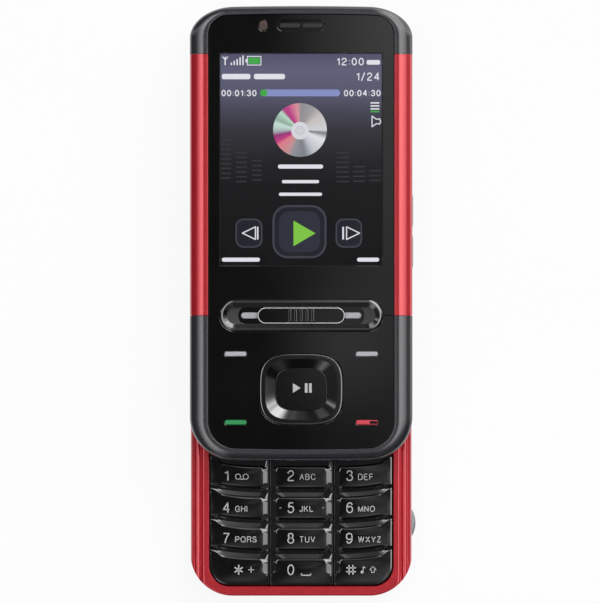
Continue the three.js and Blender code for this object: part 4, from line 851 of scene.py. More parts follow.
TRACK_FLOOR_DROP = 1.35
TRACK_FLOOR = 0.4
TRACK_WIDTH = 27.0
TRACK_LENGTH = 4.0
TRACK_EDGE = 0.12
TRACK_Z = FACE_TOP - TRACK_FLOOR_DROP
DISH_DROP = 0.45
DISH_FLATNESS = 0.9
STEM_WIDTH = 6.65
STEM_LENGTH = 1.5
MUSIC_TRAVEL = 2.5
STEM_SLOT_WIDTH = STEM_WIDTH + 2 * (MUSIC_TRAVEL + 2 * FIT)
LIGHT_X = 11.05
LIGHT_WIDTH = 3.9
LIGHT_LENGTH = 1.33
LIGHT_PROUD = 0.25
LIGHT_EDGE = 0.2
GUIDE_WIDTH = 28.2
GUIDE_THICKNESS = 0.5
BEZEL_LINE = [
    (0, -0.25), (0.015, -0.02), (0.08, 0.06), (0.3, 0.17), (0.46, 0.2), (0.56, 0.2), (0.64, 0.18),
    (0.72, 0.15), (1.52, -0.19), (1.6, -0.21),
]


def add_music_bezel():
    bezel = bar_at(MUSIC_AT, BEZEL_WIDTH, BEZEL_LENGTH)
    track = bar_at(MUSIC_AT, TRACK_WIDTH, TRACK_LENGTH)
    slot = stadium(MUSIC_AT, STEM_SLOT_WIDTH, STEM_LENGTH + 2 * FIT)
    floor_z = TRACK_Z - TRACK_FLOOR
    dish_z = FACE_TOP - DISH_DROP
    rings = [
        level(bezel(0), floor_z),
        *(level(bezel(inset), FACE_TOP + up) for inset, up in smooth_line(BEZEL_LINE, LINE_STEPS)),
        level(track(-TRACK_EDGE), dish_z),
        level(track(0), dish_z - TRACK_EDGE),
        level(track(0), TRACK_Z),
        level(slot, TRACK_Z),
        level(slot, floor_z),
    ]
    skin = stack(rings, closed=True)
    ring = show("music_bezel_ring", [skin], "key_black", "slider", "music_key_bezel")
    half = BEZEL_LENGTH / 2 - BEZEL_LINE[-1][0] + SEAM / 2
    reach = (BEZEL_WIDTH - BEZEL_LENGTH) / 2

    def in_dish(x, y, z, up):
        away = math.hypot(max(abs(x) - reach, 0), y - FACE_SEAM_Y - SLIDE_TRAVEL)
        return away < half and z > dish_z - SEAM and up > DISH_FLATNESS

    repaint(ring, "dish", in_dish)


def add_music_lights():
    """Light guide below the bezel, with its two windows."""
    top = TRACK_Z - TRACK_FLOOR - SEAM
    parts = [prism(stadium(MUSIC_AT, GUIDE_WIDTH, BEZEL_LENGTH / 2), (top - GUIDE_THICKNESS, top))]
    for x in (-LIGHT_X, LIGHT_X):
        window = bar_at((x, FACE_SEAM_Y), LIGHT_WIDTH, LIGHT_LENGTH)
        parts.append(domed(window, (top, TRACK_Z + LIGHT_PROUD), LIGHT_EDGE))
    show("music_key_lights", parts, "lit_white", "slider", "music_key_light_guide")


MUSIC_KEY_WIDTH = 19.0
MUSIC_KEY_LENGTH = 3.6
MUSIC_KEY_PROUD = 0.1
MUSIC_KEY_TOP = FACE_TOP + MUSIC_KEY_PROUD
MUSIC_KEY_EDGE = 0.22
RIDGE_COUNT = 5
RIDGE_PITCH = 1.23
RIDGE_WIDTH = 0.62
RIDGE_LENGTH = 2.6
RIDGE_PROUD = 0.1
LINE_WIDTH = 0.13
LINE_PROUD = 0.03


def ridge_at(x):
    return lambda inset: rounded_box(
        around(x, RIDGE_WIDTH - 2 * inset), around(FACE_SEAM_Y, RIDGE_LENGTH - 2 * inset), RIDGE_WIDTH / 5
    )


def add_music_key():
    under = TRACK_Z + LIGHT_PROUD + FIT
    outline_at = bar_at(MUSIC_AT, MUSIC_KEY_WIDTH, MUSIC_KEY_LENGTH)
    parts = [domed(outline_at, (under, MUSIC_KEY_TOP), MUSIC_KEY_EDGE)]
    for i in range(RIDGE_COUNT):
        ridge = ridge_at((i - (RIDGE_COUNT - 1) / 2) * RIDGE_PITCH)
        parts.append(domed(ridge, (MUSIC_KEY_TOP - SEAM, MUSIC_KEY_TOP + RIDGE_PROUD), RIDGE_PROUD))
    stem = stadium(MUSIC_AT, STEM_WIDTH, STEM_LENGTH)
    parts.append(prism(stem, (SLIDER_DOME_TOP + 2 * FIT, under + SEAM)))
    show("music_key_cap", parts, "key_black", "music_slide_key", "music_slide_key")
    outer, inner = outline_at(MUSIC_KEY_EDGE / 2), outline_at(MUSIC_KEY_EDGE / 2 + LINE_WIDTH)
    low, high = MUSIC_KEY_TOP - MUSIC_KEY_EDGE, MUSIC_KEY_TOP + LINE_PROUD
    rings = [level(outer, low), level(outer, high), level(inner, high), level(inner, low)]
    show("music_key_line", [stack(rings, closed=True)], "edge", "music_slide_key")


NAVI_PROUD = 0.35
NAVI_UNDERSIDE = 15.1
NAVI_SHARES = [
    (0, -0.4), (0.008, 0.5), (0.02, 0.82), (0.04, 0.96), (0.07, 1), (0.14, 1.01), (0.36, 1.01),
    (0.6, -0.24), (0.8, -1.3), (1, -2.36),
]
SELECT_UNDERSIDE = NAVI_UNDERSIDE + 2 * FIT
SELECT_DROP = 0.72
SELECT_TOP = FACE_TOP - SELECT_DROP
SELECT_EDGE = 0.02
SELECT_EDGE_STEPS = 2
SELECT_STEM_SHARE = 0.55
SELECT_STEM_CORNER = 1
SELECT_MARK_UP = 0.27
SELECT_MARK_Y = NAVI_Y + SELECT_MARK_UP
SELECT_MARK_HEIGHT = 2.05
SELECT_MARK_PROUD = 0.01
TRIANGLE_XS = (-1.8, -0.15)
PAUSE_XS = (1.08, 1.98)
PAUSE_WIDTH = 0.58
PAUSE_CORNER = 0.12


def add_navi():
    outer = squircle(NAVI_AT, NAVI_WIDTH, NAVI_LENGTH)
    inner = squircle(NAVI_AT, SELECT_WIDTH + 2 * FIT, SELECT_LENGTH + 2 * FIT)
    rings = [
        level(outer, NAVI_UNDERSIDE),
        *(level(between(outer, inner, share), FACE_TOP + NAVI_PROUD * up) for share, up in NAVI_SHARES),
        level(inner, NAVI_UNDERSIDE),
    ]
    skin = stack(rings, closed=True)
    show("navi_ring_cap", [skin], "navi", "navi_ring", "navi_ring", PLATE_SHARP_ANGLE)


def add_select_key():
    heights = (SELECT_UNDERSIDE, SELECT_TOP)
    head = domed(squircle_at(NAVI_AT, SELECT_WIDTH, SELECT_LENGTH), heights, SELECT_EDGE, SELECT_EDGE_STEPS)
    stem_xs = around(0, SELECT_WIDTH * SELECT_STEM_SHARE)
    stem_ys = around(NAVI_Y, SELECT_LENGTH * SELECT_STEM_SHARE)
    stem = prism(rounded_box(stem_xs, stem_ys, SELECT_STEM_CORNER), (STEM_FOOT, SELECT_UNDERSIDE - MERGE))
    show("select_key_cap", [head, stem], "key_black", "select_key", "select_key")
    low, high = around(SELECT_MARK_Y, SELECT_MARK_HEIGHT)
    outlines = [[(TRIANGLE_XS[0], low), (TRIANGLE_XS[1], SELECT_MARK_Y), (TRIANGLE_XS[0], high)]]
    outlines += [rounded_box(around(x, PAUSE_WIDTH), (low, high), PAUSE_CORNER) for x in PAUSE_XS]
    marks = [prism(outline, (SELECT_TOP - SEAM, SELECT_TOP + SELECT_MARK_PROUD)) for outline in outlines]
    show("select_key_mark", marks, "legend", "select_key")


CAPSULE_WIDTH = 12
CAPSULE_YS = (41.07, 46.0)
CAPSULE_FOOT = 13.15
NOSE_DROP = 0.35
NOSE_TOP = FACE_TOP - NOSE_DROP
EAR_MESH_DROP = 0.3
EAR_BAR_WIDTH = 4.6
EAR_BAR_LENGTH = 1.15
EAR_BAR_HEIGHT = 0.35
EAR_BAR_EDGE = 0.2
EAR_WEB = 0.3


def add_earpiece():
    """Two dark bars in a slot, with a web between them, and the capsule below."""
    capsule = block(around(0, CAPSULE_WIDTH), CAPSULE_YS, (CAPSULE_FOOT, FACE_UNDERSIDE - 2 * SEAM))
    slot = stadium(EAR_AT, EAR_WIDTH - 2 * SEAM, EAR_LENGTH - 2 * SEAM)
    mesh = prism(slot, (FACE_UNDERSIDE - 3 * SEAM, NOSE_TOP - EAR_MESH_DROP))
    show("earpiece_body", [capsule, mesh], "gloss_black", "slider", "earpiece")
    bars = []
    for side in (-1, 1):
        bar = bar_at((side * (EAR_BAR_WIDTH + EAR_WEB) / 2, TOP_ROW_Y), EAR_BAR_WIDTH, EAR_BAR_LENGTH)
        bars.append(domed(bar, (NOSE_TOP - EAR_BAR_HEIGHT, NOSE_TOP), EAR_BAR_EDGE))
    show("earpiece_bars", bars, "back_black", "slider")


def add_sensor():
    outline_at = bar_at(SENSOR_AT, SENSOR_WIDTH, SENSOR_LENGTH)
    window = domed(outline_at, (SENSOR_FOOT, FACE_TOP - SEAM), SENSOR_EDGE)
    show("sensor_window", [window], "sensor_brown", "slider", "light_sensor")


# Keypad: twelve keys, each a plate with a raised pad that has sloping sides.

KEY_CREST = 9.05
KEY_LEDGE = 8.6
KEY_UNDERSIDE = 7.48
KEY_GAP = 0.4
KEY_PITCH = 6.7
BOTTOM_ROW_HEIGHT = 7.2
CENTRE_HALF = 6.97
ROW_RISE = 1.3
ROW_POWER = 2.5
PAD_TOP_LEDGE = 1.3
PAD_BOTTOM_LEDGE = 0.78
PAD_INNER = 8.05
CENTRE_PAD_HALF = 5.75
PAD_CORNER = 1.0
PAD_CORNER_SHARE = 0.8
SMALL_CORNER = 0.3
LEAST_PLATE_CORNER = 0.04
LEAST_PAD_CORNER = 0.06
FLARE = (17.3, 18.8)
FOOT_HEIGHT = 2.2
FOOT_FLARE = 0.8
KEY_EDGE = KEYPAD_HALF - FIT
PAD_FOOT = -0.3
PAD_CREST = 0.25
CREST_WIDTH = 0.12
CREST_DROP = 0.1
TOP_SLOPE_SHARE = 0.3
TOP_FACET = 0.16
TOP_FACET_DROP = 0.022
SIDE_REACH = 1.0
SIDE_RUN = 0.7
SIDE_SLOPE = 0.296
OUTER_EDGE = 0.42
OUTER_SLOPE = 0.2
PLATE_EDGE = 0.12
PLATE_EDGE_DROP = 0.1
FOOT_EDGE_SHARE = 1.4
CREST_EDGE_SHARE = 1.8
LEDGE_FALL = 0.08
LEDGE_FALL_RUN = 1.2
LEDGE_FLATNESS = 0.998
KEY_DOME = 0.05
DOME_SHARES = (0.97, 0.85, 0.7, 0.55, 0.4, 0.25, 0.1)
SIDE_STEPS = 16
KEY_CORNER_STEPS = 8
CROSSING_ROUNDS = 12
CENTRE_STRIP = 1


def ease(value, start, end):
    t = min(max((value - start) / (end - start), 0), 1)
    return t * t * (3 - 2 * t)


def row_line(row, x):
    """The line above a row of keys, which rises towards the sides. Line 4 is the keypad's foot."""
    if row == 4:
        return KEYPAD_BOTTOM_Y
    rise = ROW_RISE * (max(abs(x) - CENTRE_HALF, 0) / (KEYPAD_HALF - CENTRE_HALF)) ** ROW_POWER
    return KEYPAD_BOTTOM_Y + BOTTOM_ROW_HEIGHT + (3 - row) * KEY_PITCH + rise


def crossing(side, end):
    """Where a side, which gives x for a y, meets an end, which gives y for an x."""
    x, y = side(0), 0
    for _ in range(CROSSING_ROUNDS):
        y = end(x)
        x = side(y)
    return x, y


def patch(left, right, bottom, top, radii):
    """A closed outline from four edges and four corner radii, always with the same point count.
    left and right give x for a y, bottom and top give y for an x. Radii go bottom-left,
    bottom-right, top-right, top-left."""
    corners = ((left, bottom, 1, 1), (right, bottom, -1, 1), (right, top, -1, -1), (left, top, 1, -1))
    arcs = []
    for number, (side, end, dx, dy) in enumerate(corners):
        cx, cy = crossing(side, end)
        x, y = cx + dx * radii[number], cy + dy * radii[number]
        legs = [(side(y), y), (x, end(x))]
        (ax, ay), (bx, by) = legs if number % 2 == 0 else reversed(legs)
        arc = []
        for angle in quarter(KEY_CORNER_STEPS):
            u, v = 1 - math.sin(angle), 1 - math.cos(angle)
            arc.append((cx + (ax - cx) * u + (bx - cx) * v, cy + (ay - cy) * u + (by - cy) * v))
        arcs.append(arc)
    outline = []
    for number, line in enumerate((bottom, right, top, left)):
        outline += arcs[number]
        start, end = arcs[number][-1], arcs[(number + 1) % 4][0]
        for i in range(1, SIDE_STEPS):
            along = number % 2
            value = mix(start[along], end[along], i / SIDE_STEPS)
            outline.append((line(value), value) if along else (value, line(value)))
    return outline


def plate_outline(row, column, inset):
    """The cell of one key, for the centre or the right column, drawn in by a distance."""
    x0 = (CENTRE_HALF if column else -CENTRE_HALF) + KEY_GAP / 2 + inset
    x1 = (KEY_EDGE if column else CENTRE_HALF - KEY_GAP / 2) - inset
    foot_gap = FIT if row == 3 else KEY_GAP / 2

    def bottom(x):
        return row_line(row + 1, x) + foot_gap + inset

    def top(x):
        if row == 0:
            return DECK_EDGE_Y - FIT - inset
        return row_line(row, x) - KEY_GAP / 2 - inset

    small = max(SMALL_CORNER - inset, LEAST_PLATE_CORNER)
    foot_corner = KEYPAD_CORNER - FIT - inset if column and row == 3 else small
    return patch(lambda y: x0, lambda y: x1, bottom, top, (small, foot_corner, small, small))


def pad_outline(row, column, inset, edge=0.0, higher=0.0, reach=0.0):
    """The raised pad of one key, which widens to the whole cell at its outer end and at its foot.
    A negative inset spreads it, as far as edge in from the plate's outline. higher moves its top
    and reach spreads the side that faces the next column on the right."""
    inner = (PAD_INNER if column else -CENTRE_PAD_HALF) + inset
    held = max(inset, edge)
    cell_inner = (CENTRE_HALF if column else -CENTRE_HALF) + KEY_GAP / 2 + held
    foot = KEYPAD_BOTTOM_Y + FIT + held
    cell_edge = (KEY_EDGE if column else CENTRE_HALF - KEY_GAP / 2) - held
    if column < 0:
        inner = max(inner - reach, cell_inner)

    below_crest = PAD_CREST - inset
    top_inset = PAD_CREST - min(below_crest, CREST_WIDTH)
    top_inset -= max(below_crest - CREST_WIDTH, 0) * TOP_SLOPE_SHARE

    def flare(x):
        return ease(x, *FLARE) if column else 0.0

    def top(x):
        f = flare(x)
        y = row_line(row, x) - PAD_TOP_LEDGE * (1 - f) - KEY_GAP / 2 * f - top_inset + higher
        return min(y, row_line(row, x) - KEY_GAP / 2 - held)

    def bottom(x):
        if row == 3:
            return foot
        f = flare(x)
        y = row_line(row + 1, x) + PAD_BOTTOM_LEDGE * (1 - f) + KEY_GAP / 2 * f + inset
        return max(y, row_line(row + 1, x) + KEY_GAP / 2 + held)

    def widened(y):
        low = foot - held + FOOT_HEIGHT
        return 1 - ease(y, low, low + FOOT_FLARE) if row == 3 else 0.0

    def left(y):
        return mix(inner, cell_inner, widened(y))

    def right(y):
        if column:
            return cell_edge
        return mix(min(CENTRE_PAD_HALF - inset + reach, cell_edge), cell_edge, widened(y))

    round_corner = max(PAD_CORNER - inset * PAD_CORNER_SHARE, SMALL_CORNER)
    small = max(SMALL_CORNER - held, LEAST_PAD_CORNER)
    foot_left = small if row == 3 else round_corner
    if row == 3:
        foot_right = KEYPAD_CORNER - FIT - held if column else small
    else:
        foot_right = small if column else round_corner
    top_right = small if column else round_corner
    return patch(left, right, bottom, top, (foot_left, foot_right, top_right, round_corner))


def pad_centre(row, column):
    outline = pad_outline(row, column, PAD_CREST, PLATE_EDGE)
    xs = [x for x, y in outline]
    x = (min(xs) + max(xs)) / 2
    ys = [y for px, y in outline if abs(px - x) < CENTRE_STRIP]
    return x, (min(ys) + max(ys)) / 2


def key_top(row, column, x, y):
    """The height of a key's top, which is slightly domed."""
    cx, cy = pad_centre(row, column)
    half = CENTRE_PAD_HALF if not column else (KEY_EDGE - PAD_INNER) / 2
    u = min(abs(x - cx) / half, 1)
    v = min(abs(y - cy) / (KEY_PITCH / 3), 1)
    return KEY_CREST + KEY_DOME * (1 - u * u) * (1 - v * v)


def fallen(row, column, ring):
    """A ring of a key's ledge, which falls a little towards the row above."""
    foot = (PAD_INNER if column else -CENTRE_PAD_HALF) + PAD_FOOT
    out = []
    for x, y, z in ring:
        beyond = max(y - row_line(row, x) + PAD_TOP_LEDGE, 0) if row else 0
        share = ease(x, foot, foot + LEDGE_FALL_RUN)
        if not column:
            share *= ease(-x, foot, foot + LEDGE_FALL_RUN)
        out.append((x, y, z - LEDGE_FALL * share * min(beyond, PAD_TOP_LEDGE)))
    return out


def sloped(column, outline, z, start, end):
    """A ring at a height z. Where the next column follows on the right it passes into a gentle
    slope, which runs from the pad's crest to the plate's edge."""
    side = (PAD_INNER if column else -CENTRE_PAD_HALF) + PAD_CREST
    crest_z = KEY_CREST - TOP_FACET_DROP
    out = []
    for x, y in outline:
        beyond = 0.0
        if column < 0:
            beyond = side - x
        if not column:
            beyond = x + side
        height = mix(z, max(crest_z - SIDE_SLOPE * beyond, z), ease(beyond, start, end))
        if column > 0 and z > KEY_LEDGE:
            outer = x - KEY_EDGE + OUTER_EDGE
            height = max(height, mix(z, crest_z - OUTER_SLOPE * outer, ease(outer, 0, CREST_WIDTH)))
        out.append((x, y, height))
    return out


def key_skin(row, column):
    """The rings of one key from its underside to the top of its pad."""
    cell = plate_outline(row, column, 0)
    ledge = plate_outline(row, column, PLATE_EDGE)
    foot = pad_outline(row, column, PAD_FOOT, PLATE_EDGE * FOOT_EDGE_SHARE, TOP_FACET, SIDE_REACH)
    below = pad_outline(row, column, PAD_CREST - CREST_WIDTH, PLATE_EDGE * CREST_EDGE_SHARE, TOP_FACET)
    crest = pad_outline(row, column, PAD_CREST, OUTER_EDGE)
    rings = [
        level(cell, KEY_UNDERSIDE),
        fallen(row, column, level(cell, KEY_LEDGE - PLATE_EDGE_DROP)),
        fallen(row, column, level(ledge, KEY_LEDGE)),
        sloped(column, foot, KEY_LEDGE, PAD_CREST - PAD_FOOT, PAD_CREST + SIDE_RUN),
        sloped(column, below, KEY_CREST - CREST_DROP, 0, CREST_WIDTH),
        level(pad_outline(row, column, PAD_CREST, OUTER_EDGE, TOP_FACET), KEY_CREST - TOP_FACET_DROP),
        level(crest, KEY_CREST),
    ]
    centre = pad_centre(row, column)
    for share in DOME_SHARES:
        line = [(mix(centre[0], x, share), mix(centre[1], y, share)) for x, y in crest]
        rings.append([(x, y, key_top(row, column, x, y)) for x, y in line])
    return rings


KEY_NAMES = [
    ("key_1", "key_2", "key_3"),
    ("key_4", "key_5", "key_6"),
    ("key_7", "key_8", "key_9"),
    ("key_star", "key_0", "key_hash"),
]
NUB_RADIUS = 0.28
NUB_PROUD = 0.196
NUB_XS = (-4.55, 4.75)


def nubs():
    """The two points for the finger on the middle key."""
    y = (row_line(1, 0) - PAD_TOP_LEDGE + row_line(2, 0) + PAD_BOTTOM_LEDGE) / 2
    zs = (KEY_CREST - SEAM, KEY_CREST + NUB_PROUD)
    return [domed(disc_at((x, y), NUB_RADIUS, 2 * ROUND_STEPS), zs, NUB_PROUD) for x in NUB_XS]


def on_ledge(x, y, z, up):
    return KEY_LEDGE - LEDGE_FALL < z < KEY_LEDGE + MERGE and up > LEDGE_FLATNESS


def add_keys():
    for row, names in enumerate(KEY_NAMES):
        for column, name in enumerate(names, -1):
            rings = key_skin(row, column)
            if column < 0:
                rings = [[(-x, y, z) for x, y, z in ring] for ring in rings]
            parts = [stack(rings)]
            if name == "key_5":
                parts += nubs()
            # The flat ledges of each key take the trough finish, a painted shade for the recess round the
            # pad.
            repaint(show(name + "_cap", parts, "key_black", name, name), "trough", on_ledge)


# Legends: plain numbers and the usual key marks, as thin raised print.

LEGEND_PROUD = 0.01
LEGEND_Z = KEY_CREST + KEY_DOME + LEGEND_PROUD
DIGIT_HEIGHT = 2.35
DIGIT_X = (-16.3, -2.3, 10.5)
DIGIT_STROKE = 0.25
LETTERS = [("", "ABC", "DEF"), ("GHI", "JKL", "MNO"), ("PQRS", "TUV", "WXYZ")]
LETTER_HEIGHT = 1.35
LETTER_X = (-14.3, -0.3, 12.45)
LETTER_DROP = 0.25
LETTER_STROKE = 0.17
LETTER_WIDE = 0.95
ROW_Y = (-23.12, -30.07, -36.72, -43.58)

GLYPHS = {
    "0": [("o", (0.28, 0.5, 0.26, 0.5))],
    "1": [("c", (0.04, 0.79), (0.18, 0.83), (0.27, 0.91), (0.3, 1)), ("l", (0.3, 1), (0.3, 0))],
    "2": [
        ("c", (0.04, 0.72), (0.08, 0.89), (0.2, 0.98), (0.31, 1), (0.45, 0.95), (0.53, 0.83)),
        ("c", (0.53, 0.83), (0.53, 0.69), (0.46, 0.56), (0.3, 0.42), (0.13, 0.27), (0.02, 0)),
        ("l", (0.02, 0), (0.56, 0)),
    ],
    "3": [
        ("c", (0.05, 0.76), (0.11, 0.93), (0.27, 1), (0.42, 0.95), (0.5, 0.81), (0.46, 0.64)),
        ("c", (0.46, 0.64), (0.38, 0.56), (0.22, 0.54)),
        ("c", (0.22, 0.54), (0.42, 0.51), (0.53, 0.39), (0.54, 0.21), (0.44, 0.06), (0.27, 0)),
        ("c", (0.27, 0), (0.1, 0.06), (0.03, 0.25)),
    ],
    "4": [("l", (0.43, 0), (0.43, 1), (0.02, 0.31), (0.58, 0.31))],
    "5": [
        ("l", (0.5, 1), (0.14, 1), (0.08, 0.5)),
        ("c", (0.08, 0.5), (0.19, 0.6), (0.31, 0.63), (0.47, 0.55), (0.54, 0.35), (0.5, 0.14)),
        ("c", (0.5, 0.14), (0.38, 0.02), (0.24, 0), (0.1, 0.06), (0.03, 0.22)),
    ],
    "6": [
        ("c", (0.52, 0.79), (0.46, 0.94), (0.32, 1), (0.16, 0.92), (0.06, 0.72), (0.03, 0.45)),
        ("c", (0.03, 0.45), (0.06, 0.18), (0.16, 0.04), (0.3, 0), (0.46, 0.06), (0.55, 0.21)),
        ("c", (0.55, 0.21), (0.55, 0.4), (0.46, 0.57), (0.3, 0.63), (0.15, 0.57), (0.04, 0.42)),
    ],
    "7": [
        ("l", (0.03, 1), (0.55, 1)),
        ("c", (0.55, 1), (0.4, 0.76), (0.27, 0.46), (0.2, 0.2), (0.17, 0)),
    ],
    "8": [("o", (0.28, 0.76, 0.21, 0.24)), ("o", (0.28, 0.265, 0.26, 0.265))],
    "A": [("l", (0, 0), (0.33, 1), (0.66, 0)), ("l", (0.12, 0.36), (0.54, 0.36))],
    "B": [
        ("l", (0, 0), (0, 1)),
        ("c", (0, 1), (0.34, 1), (0.51, 0.92), (0.55, 0.76), (0.5, 0.61), (0.34, 0.54), (0, 0.54)),
        ("c", (0.34, 0.54), (0.55, 0.46), (0.61, 0.28), (0.54, 0.08), (0.34, 0), (0, 0)),
    ],
    "C": [
        ("c", (0.66, 0.7), (0.57, 0.91), (0.36, 1), (0.14, 0.9), (0.02, 0.66), (0, 0.5)),
        ("c", (0, 0.5), (0.02, 0.34), (0.14, 0.1), (0.36, 0), (0.58, 0.1), (0.68, 0.33)),
    ],
    "D": [
        ("l", (0, 0), (0, 1)),
        ("c", (0, 1), (0.3, 1), (0.52, 0.92), (0.64, 0.7), (0.66, 0.5)),
        ("c", (0.66, 0.5), (0.64, 0.3), (0.52, 0.08), (0.3, 0), (0, 0)),
    ],
    "E": [("l", (0.55, 1), (0, 1), (0, 0), (0.57, 0)), ("l", (0, 0.53), (0.5, 0.53))],
    "F": [("l", (0.54, 1), (0, 1), (0, 0)), ("l", (0, 0.52), (0.47, 0.52))],
    "G": [
        ("c", (0.66, 0.72), (0.56, 0.92), (0.36, 1), (0.14, 0.9), (0.02, 0.66), (0, 0.5)),
        ("c", (0, 0.5), (0.02, 0.34), (0.14, 0.1), (0.38, 0), (0.58, 0.1), (0.68, 0.3)),
        ("l", (0.4, 0.48), (0.68, 0.48), (0.68, 0.02)),
    ],
    "H": [("l", (0, 0), (0, 1)), ("l", (0.6, 0), (0.6, 1)), ("l", (0, 0.53), (0.6, 0.53))],
    "I": [("l", (0, 0), (0, 1))],
    "J": [("l", (0.42, 1), (0.42, 0.3)), ("c", (0.42, 0.3), (0.36, 0.07), (0.2, 0), (0.05, 0.08), (0, 0.28))],
    "K": [("l", (0, 0), (0, 1)), ("l", (0.58, 1), (0, 0.38)), ("l", (0.22, 0.6), (0.62, 0))],
    "L": [("l", (0, 1), (0, 0), (0.52, 0))],
    "M": [("l", (0, 0), (0, 1), (0.37, 0.02), (0.74, 1), (0.74, 0))],
    "N": [("l", (0, 0), (0, 1), (0.6, 0), (0.6, 1))],
    "O": [("o", (0.37, 0.5, 0.37, 0.5))],
    "P": [
        ("l", (0, 0), (0, 1)),
        ("c", (0, 1), (0.35, 1), (0.54, 0.93), (0.6, 0.74), (0.54, 0.55), (0.35, 0.47), (0, 0.47)),
    ],
    "Q": [("o", (0.37, 0.5, 0.37, 0.5)), ("l", (0.44, 0.24), (0.74, -0.02))],
    "R": [
        ("l", (0, 0), (0, 1)),
        ("c", (0, 1), (0.35, 1), (0.54, 0.93), (0.6, 0.75), (0.54, 0.57), (0.35, 0.5), (0, 0.5)),
        ("c", (0.33, 0.5), (0.5, 0.44), (0.56, 0.3), (0.58, 0.12), (0.62, 0)),
    ],
    "S": [
        ("c", (0.53, 0.74), (0.47, 0.93), (0.28, 1), (0.1, 0.93), (0.03, 0.76), (0.1, 0.61)),
        ("c", (0.1, 0.61), (0.29, 0.53), (0.48, 0.44), (0.57, 0.27), (0.5, 0.08), (0.29, 0)),
        ("c", (0.29, 0), (0.08, 0.07), (0, 0.28)),
    ],
    "T": [("l", (0, 1), (0.62, 1)), ("l", (0.31, 1), (0.31, 0))],
    "U": [
        ("l", (0, 1), (0, 0.35)),
        ("c", (0, 0.35), (0.04, 0.12), (0.15, 0.02), (0.3, 0), (0.45, 0.02), (0.56, 0.12), (0.6, 0.35)),
        ("l", (0.6, 0.35), (0.6, 1)),
    ],
    "V": [("l", (0, 1), (0.33, 0), (0.66, 1))],
    "W": [("l", (0, 1), (0.24, 0), (0.47, 1), (0.7, 0), (0.94, 1))],
    "X": [("l", (0, 1), (0.62, 0)), ("l", (0.6, 1), (0, 0))],
    "Y": [("l", (0, 1), (0.32, 0.44), (0.64, 1)), ("l", (0.32, 0.44), (0.32, 0))],
    "Z": [("l", (0.02, 1), (0.58, 1), (0, 0), (0.6, 0))],
    ":": [("l", (0.06, 0.62), (0.06, 0.7)), ("l", (0.06, 0.1), (0.06, 0.18))],
    "/": [("l", (0, -0.08), (0.4, 1.08))],
}
GLYPH_GAP = 0.33
GLYPH_STEPS = 5
LOOP_STEPS = 40
JOINT_STEPS = 12


def glyph_width(letter):
    """The width of a figure or letter for a height of 1."""
    widest = 0.0
    for kind, *line in GLYPHS["6" if letter == "9" else letter]:
        reach = line[0][0] + line[0][2] if kind == "o" else max(p[0] for p in line)
        widest = max(widest, reach)
    return widest


def glyph_lines(letter):
    """The strokes of a figure or letter as (line, smooth, closed). A nine is a six turned round."""
    lines = []
    for kind, *line in GLYPHS["6" if letter == "9" else letter]:
        if kind == "o":
            x, y, wide, high = line[0]
            loop = [(x + wide * px, y + high * py) for px, py in circle((0, 0), 1, LOOP_STEPS)]
            lines.append((loop, True, True))
        elif kind == "c":
            lines.append((smooth_line(line, GLYPH_STEPS), True, False))
        else:
            lines.append((line, False, False))
    if letter == "9":
        wide = glyph_width("6")
        lines = [([(wide - x, 1 - y) for x, y in line], *rest) for line, *rest in lines]
    return lines


def ribbon(line, width, z, closed=False):
    """A flat stroke of even width along a smooth line."""
    count = len(line)
    points, faces = [], []
    for i, (x, y) in enumerate(line):
        before = line[(i - 1) % count] if closed or i else line[i]
        after = line[(i + 1) % count] if closed or i < count - 1 else line[i]
        dx, dy = after[0] - before[0], after[1] - before[1]
        length = math.hypot(dx, dy) or 1.0
        nx, ny = -dy / length * width / 2, dx / length * width / 2
        points += [(x + nx, y + ny, z), (x - nx, y - ny, z)]
    for i in range(count if closed else count - 1):
        j = (i + 1) % count
        faces.append((2 * i, 2 * i + 1, 2 * j + 1, 2 * j))
    return points, faces


def straight(line, width, z, closed=False):
    """A flat stroke along straight pieces, with a round joint at each corner."""
    points, faces = [], []
    for start, end in zip(line, [*line[1:], line[0]] if closed else line[1:]):
        first = len(points)
        points += ribbon([start, end], width, z)[0]
        faces.append((first, first + 1, first + 3, first + 2))
    for joint in line if closed else line[1:-1]:
        first = len(points)
        points += level(circle(joint, width / 2, JOINT_STEPS), z)
        faces.append(tuple(range(first, first + JOINT_STEPS)))
    return points, faces


def shifted(line, x, y):
    return [(x + px, y + py) for px, py in line]


def word(text, height, at, anchor, width, wide=1.0):
    """The parts of a line of figures or letters. anchor 0 starts at x, 0.5 centres and 1 ends there."""
    x, y, z = at
    total = sum(glyph_width(c) + GLYPH_GAP for c in text) - GLYPH_GAP
    x -= total * height * wide * anchor
    foot = y - height / 2 + width / 2
    parts = []
    for letter in text:
        for line, curved, closed in glyph_lines(letter):
            placed = [(x + px * height * wide, foot + py * (height - width)) for px, py in line]
            parts.append(ribbon(placed, width, z, closed) if curved else straight(placed, width, z))
        x += (glyph_width(letter) + GLYPH_GAP) * height * wide
    return parts


SPOOL_RADIUS = 0.56
SPOOL_DROP = 0.2
SPOOL_STEPS = 32
STAR_X = -13.6
STAR_ARM = 1.05
MARK_STROKE = 0.28
PLUS_X = -10.9
PLUS_ARM = 0.65
SPACE_AT = (0.05, -1.2)
SPACE_LINE = [(0, 0.42), (0, 0), (2.0, 0), (2.0, 0.42)]
SPACE_STROKE = 0.24
HASH_X = 10.85
HASH_ARM = 1.05
HASH_GAP = 0.42
ARROW_X = 15.6
ARROW = [(0, 0.75), (0.7, 0), (0.32, 0), (0.32, -0.6), (-0.32, -0.6), (-0.32, 0), (-0.7, 0)]
ARROW_STROKE = 0.16
NOTE_X = 13.5
NOTE = [(0, -0.5), (0, 0.7), (0.5, 0.35)]
NOTE_STROKE = 0.18
NOTE_HEAD = (-0.25, -0.5)
NOTE_HEAD_RADIUS = 0.32
NOTE_HEAD_STEPS = 24


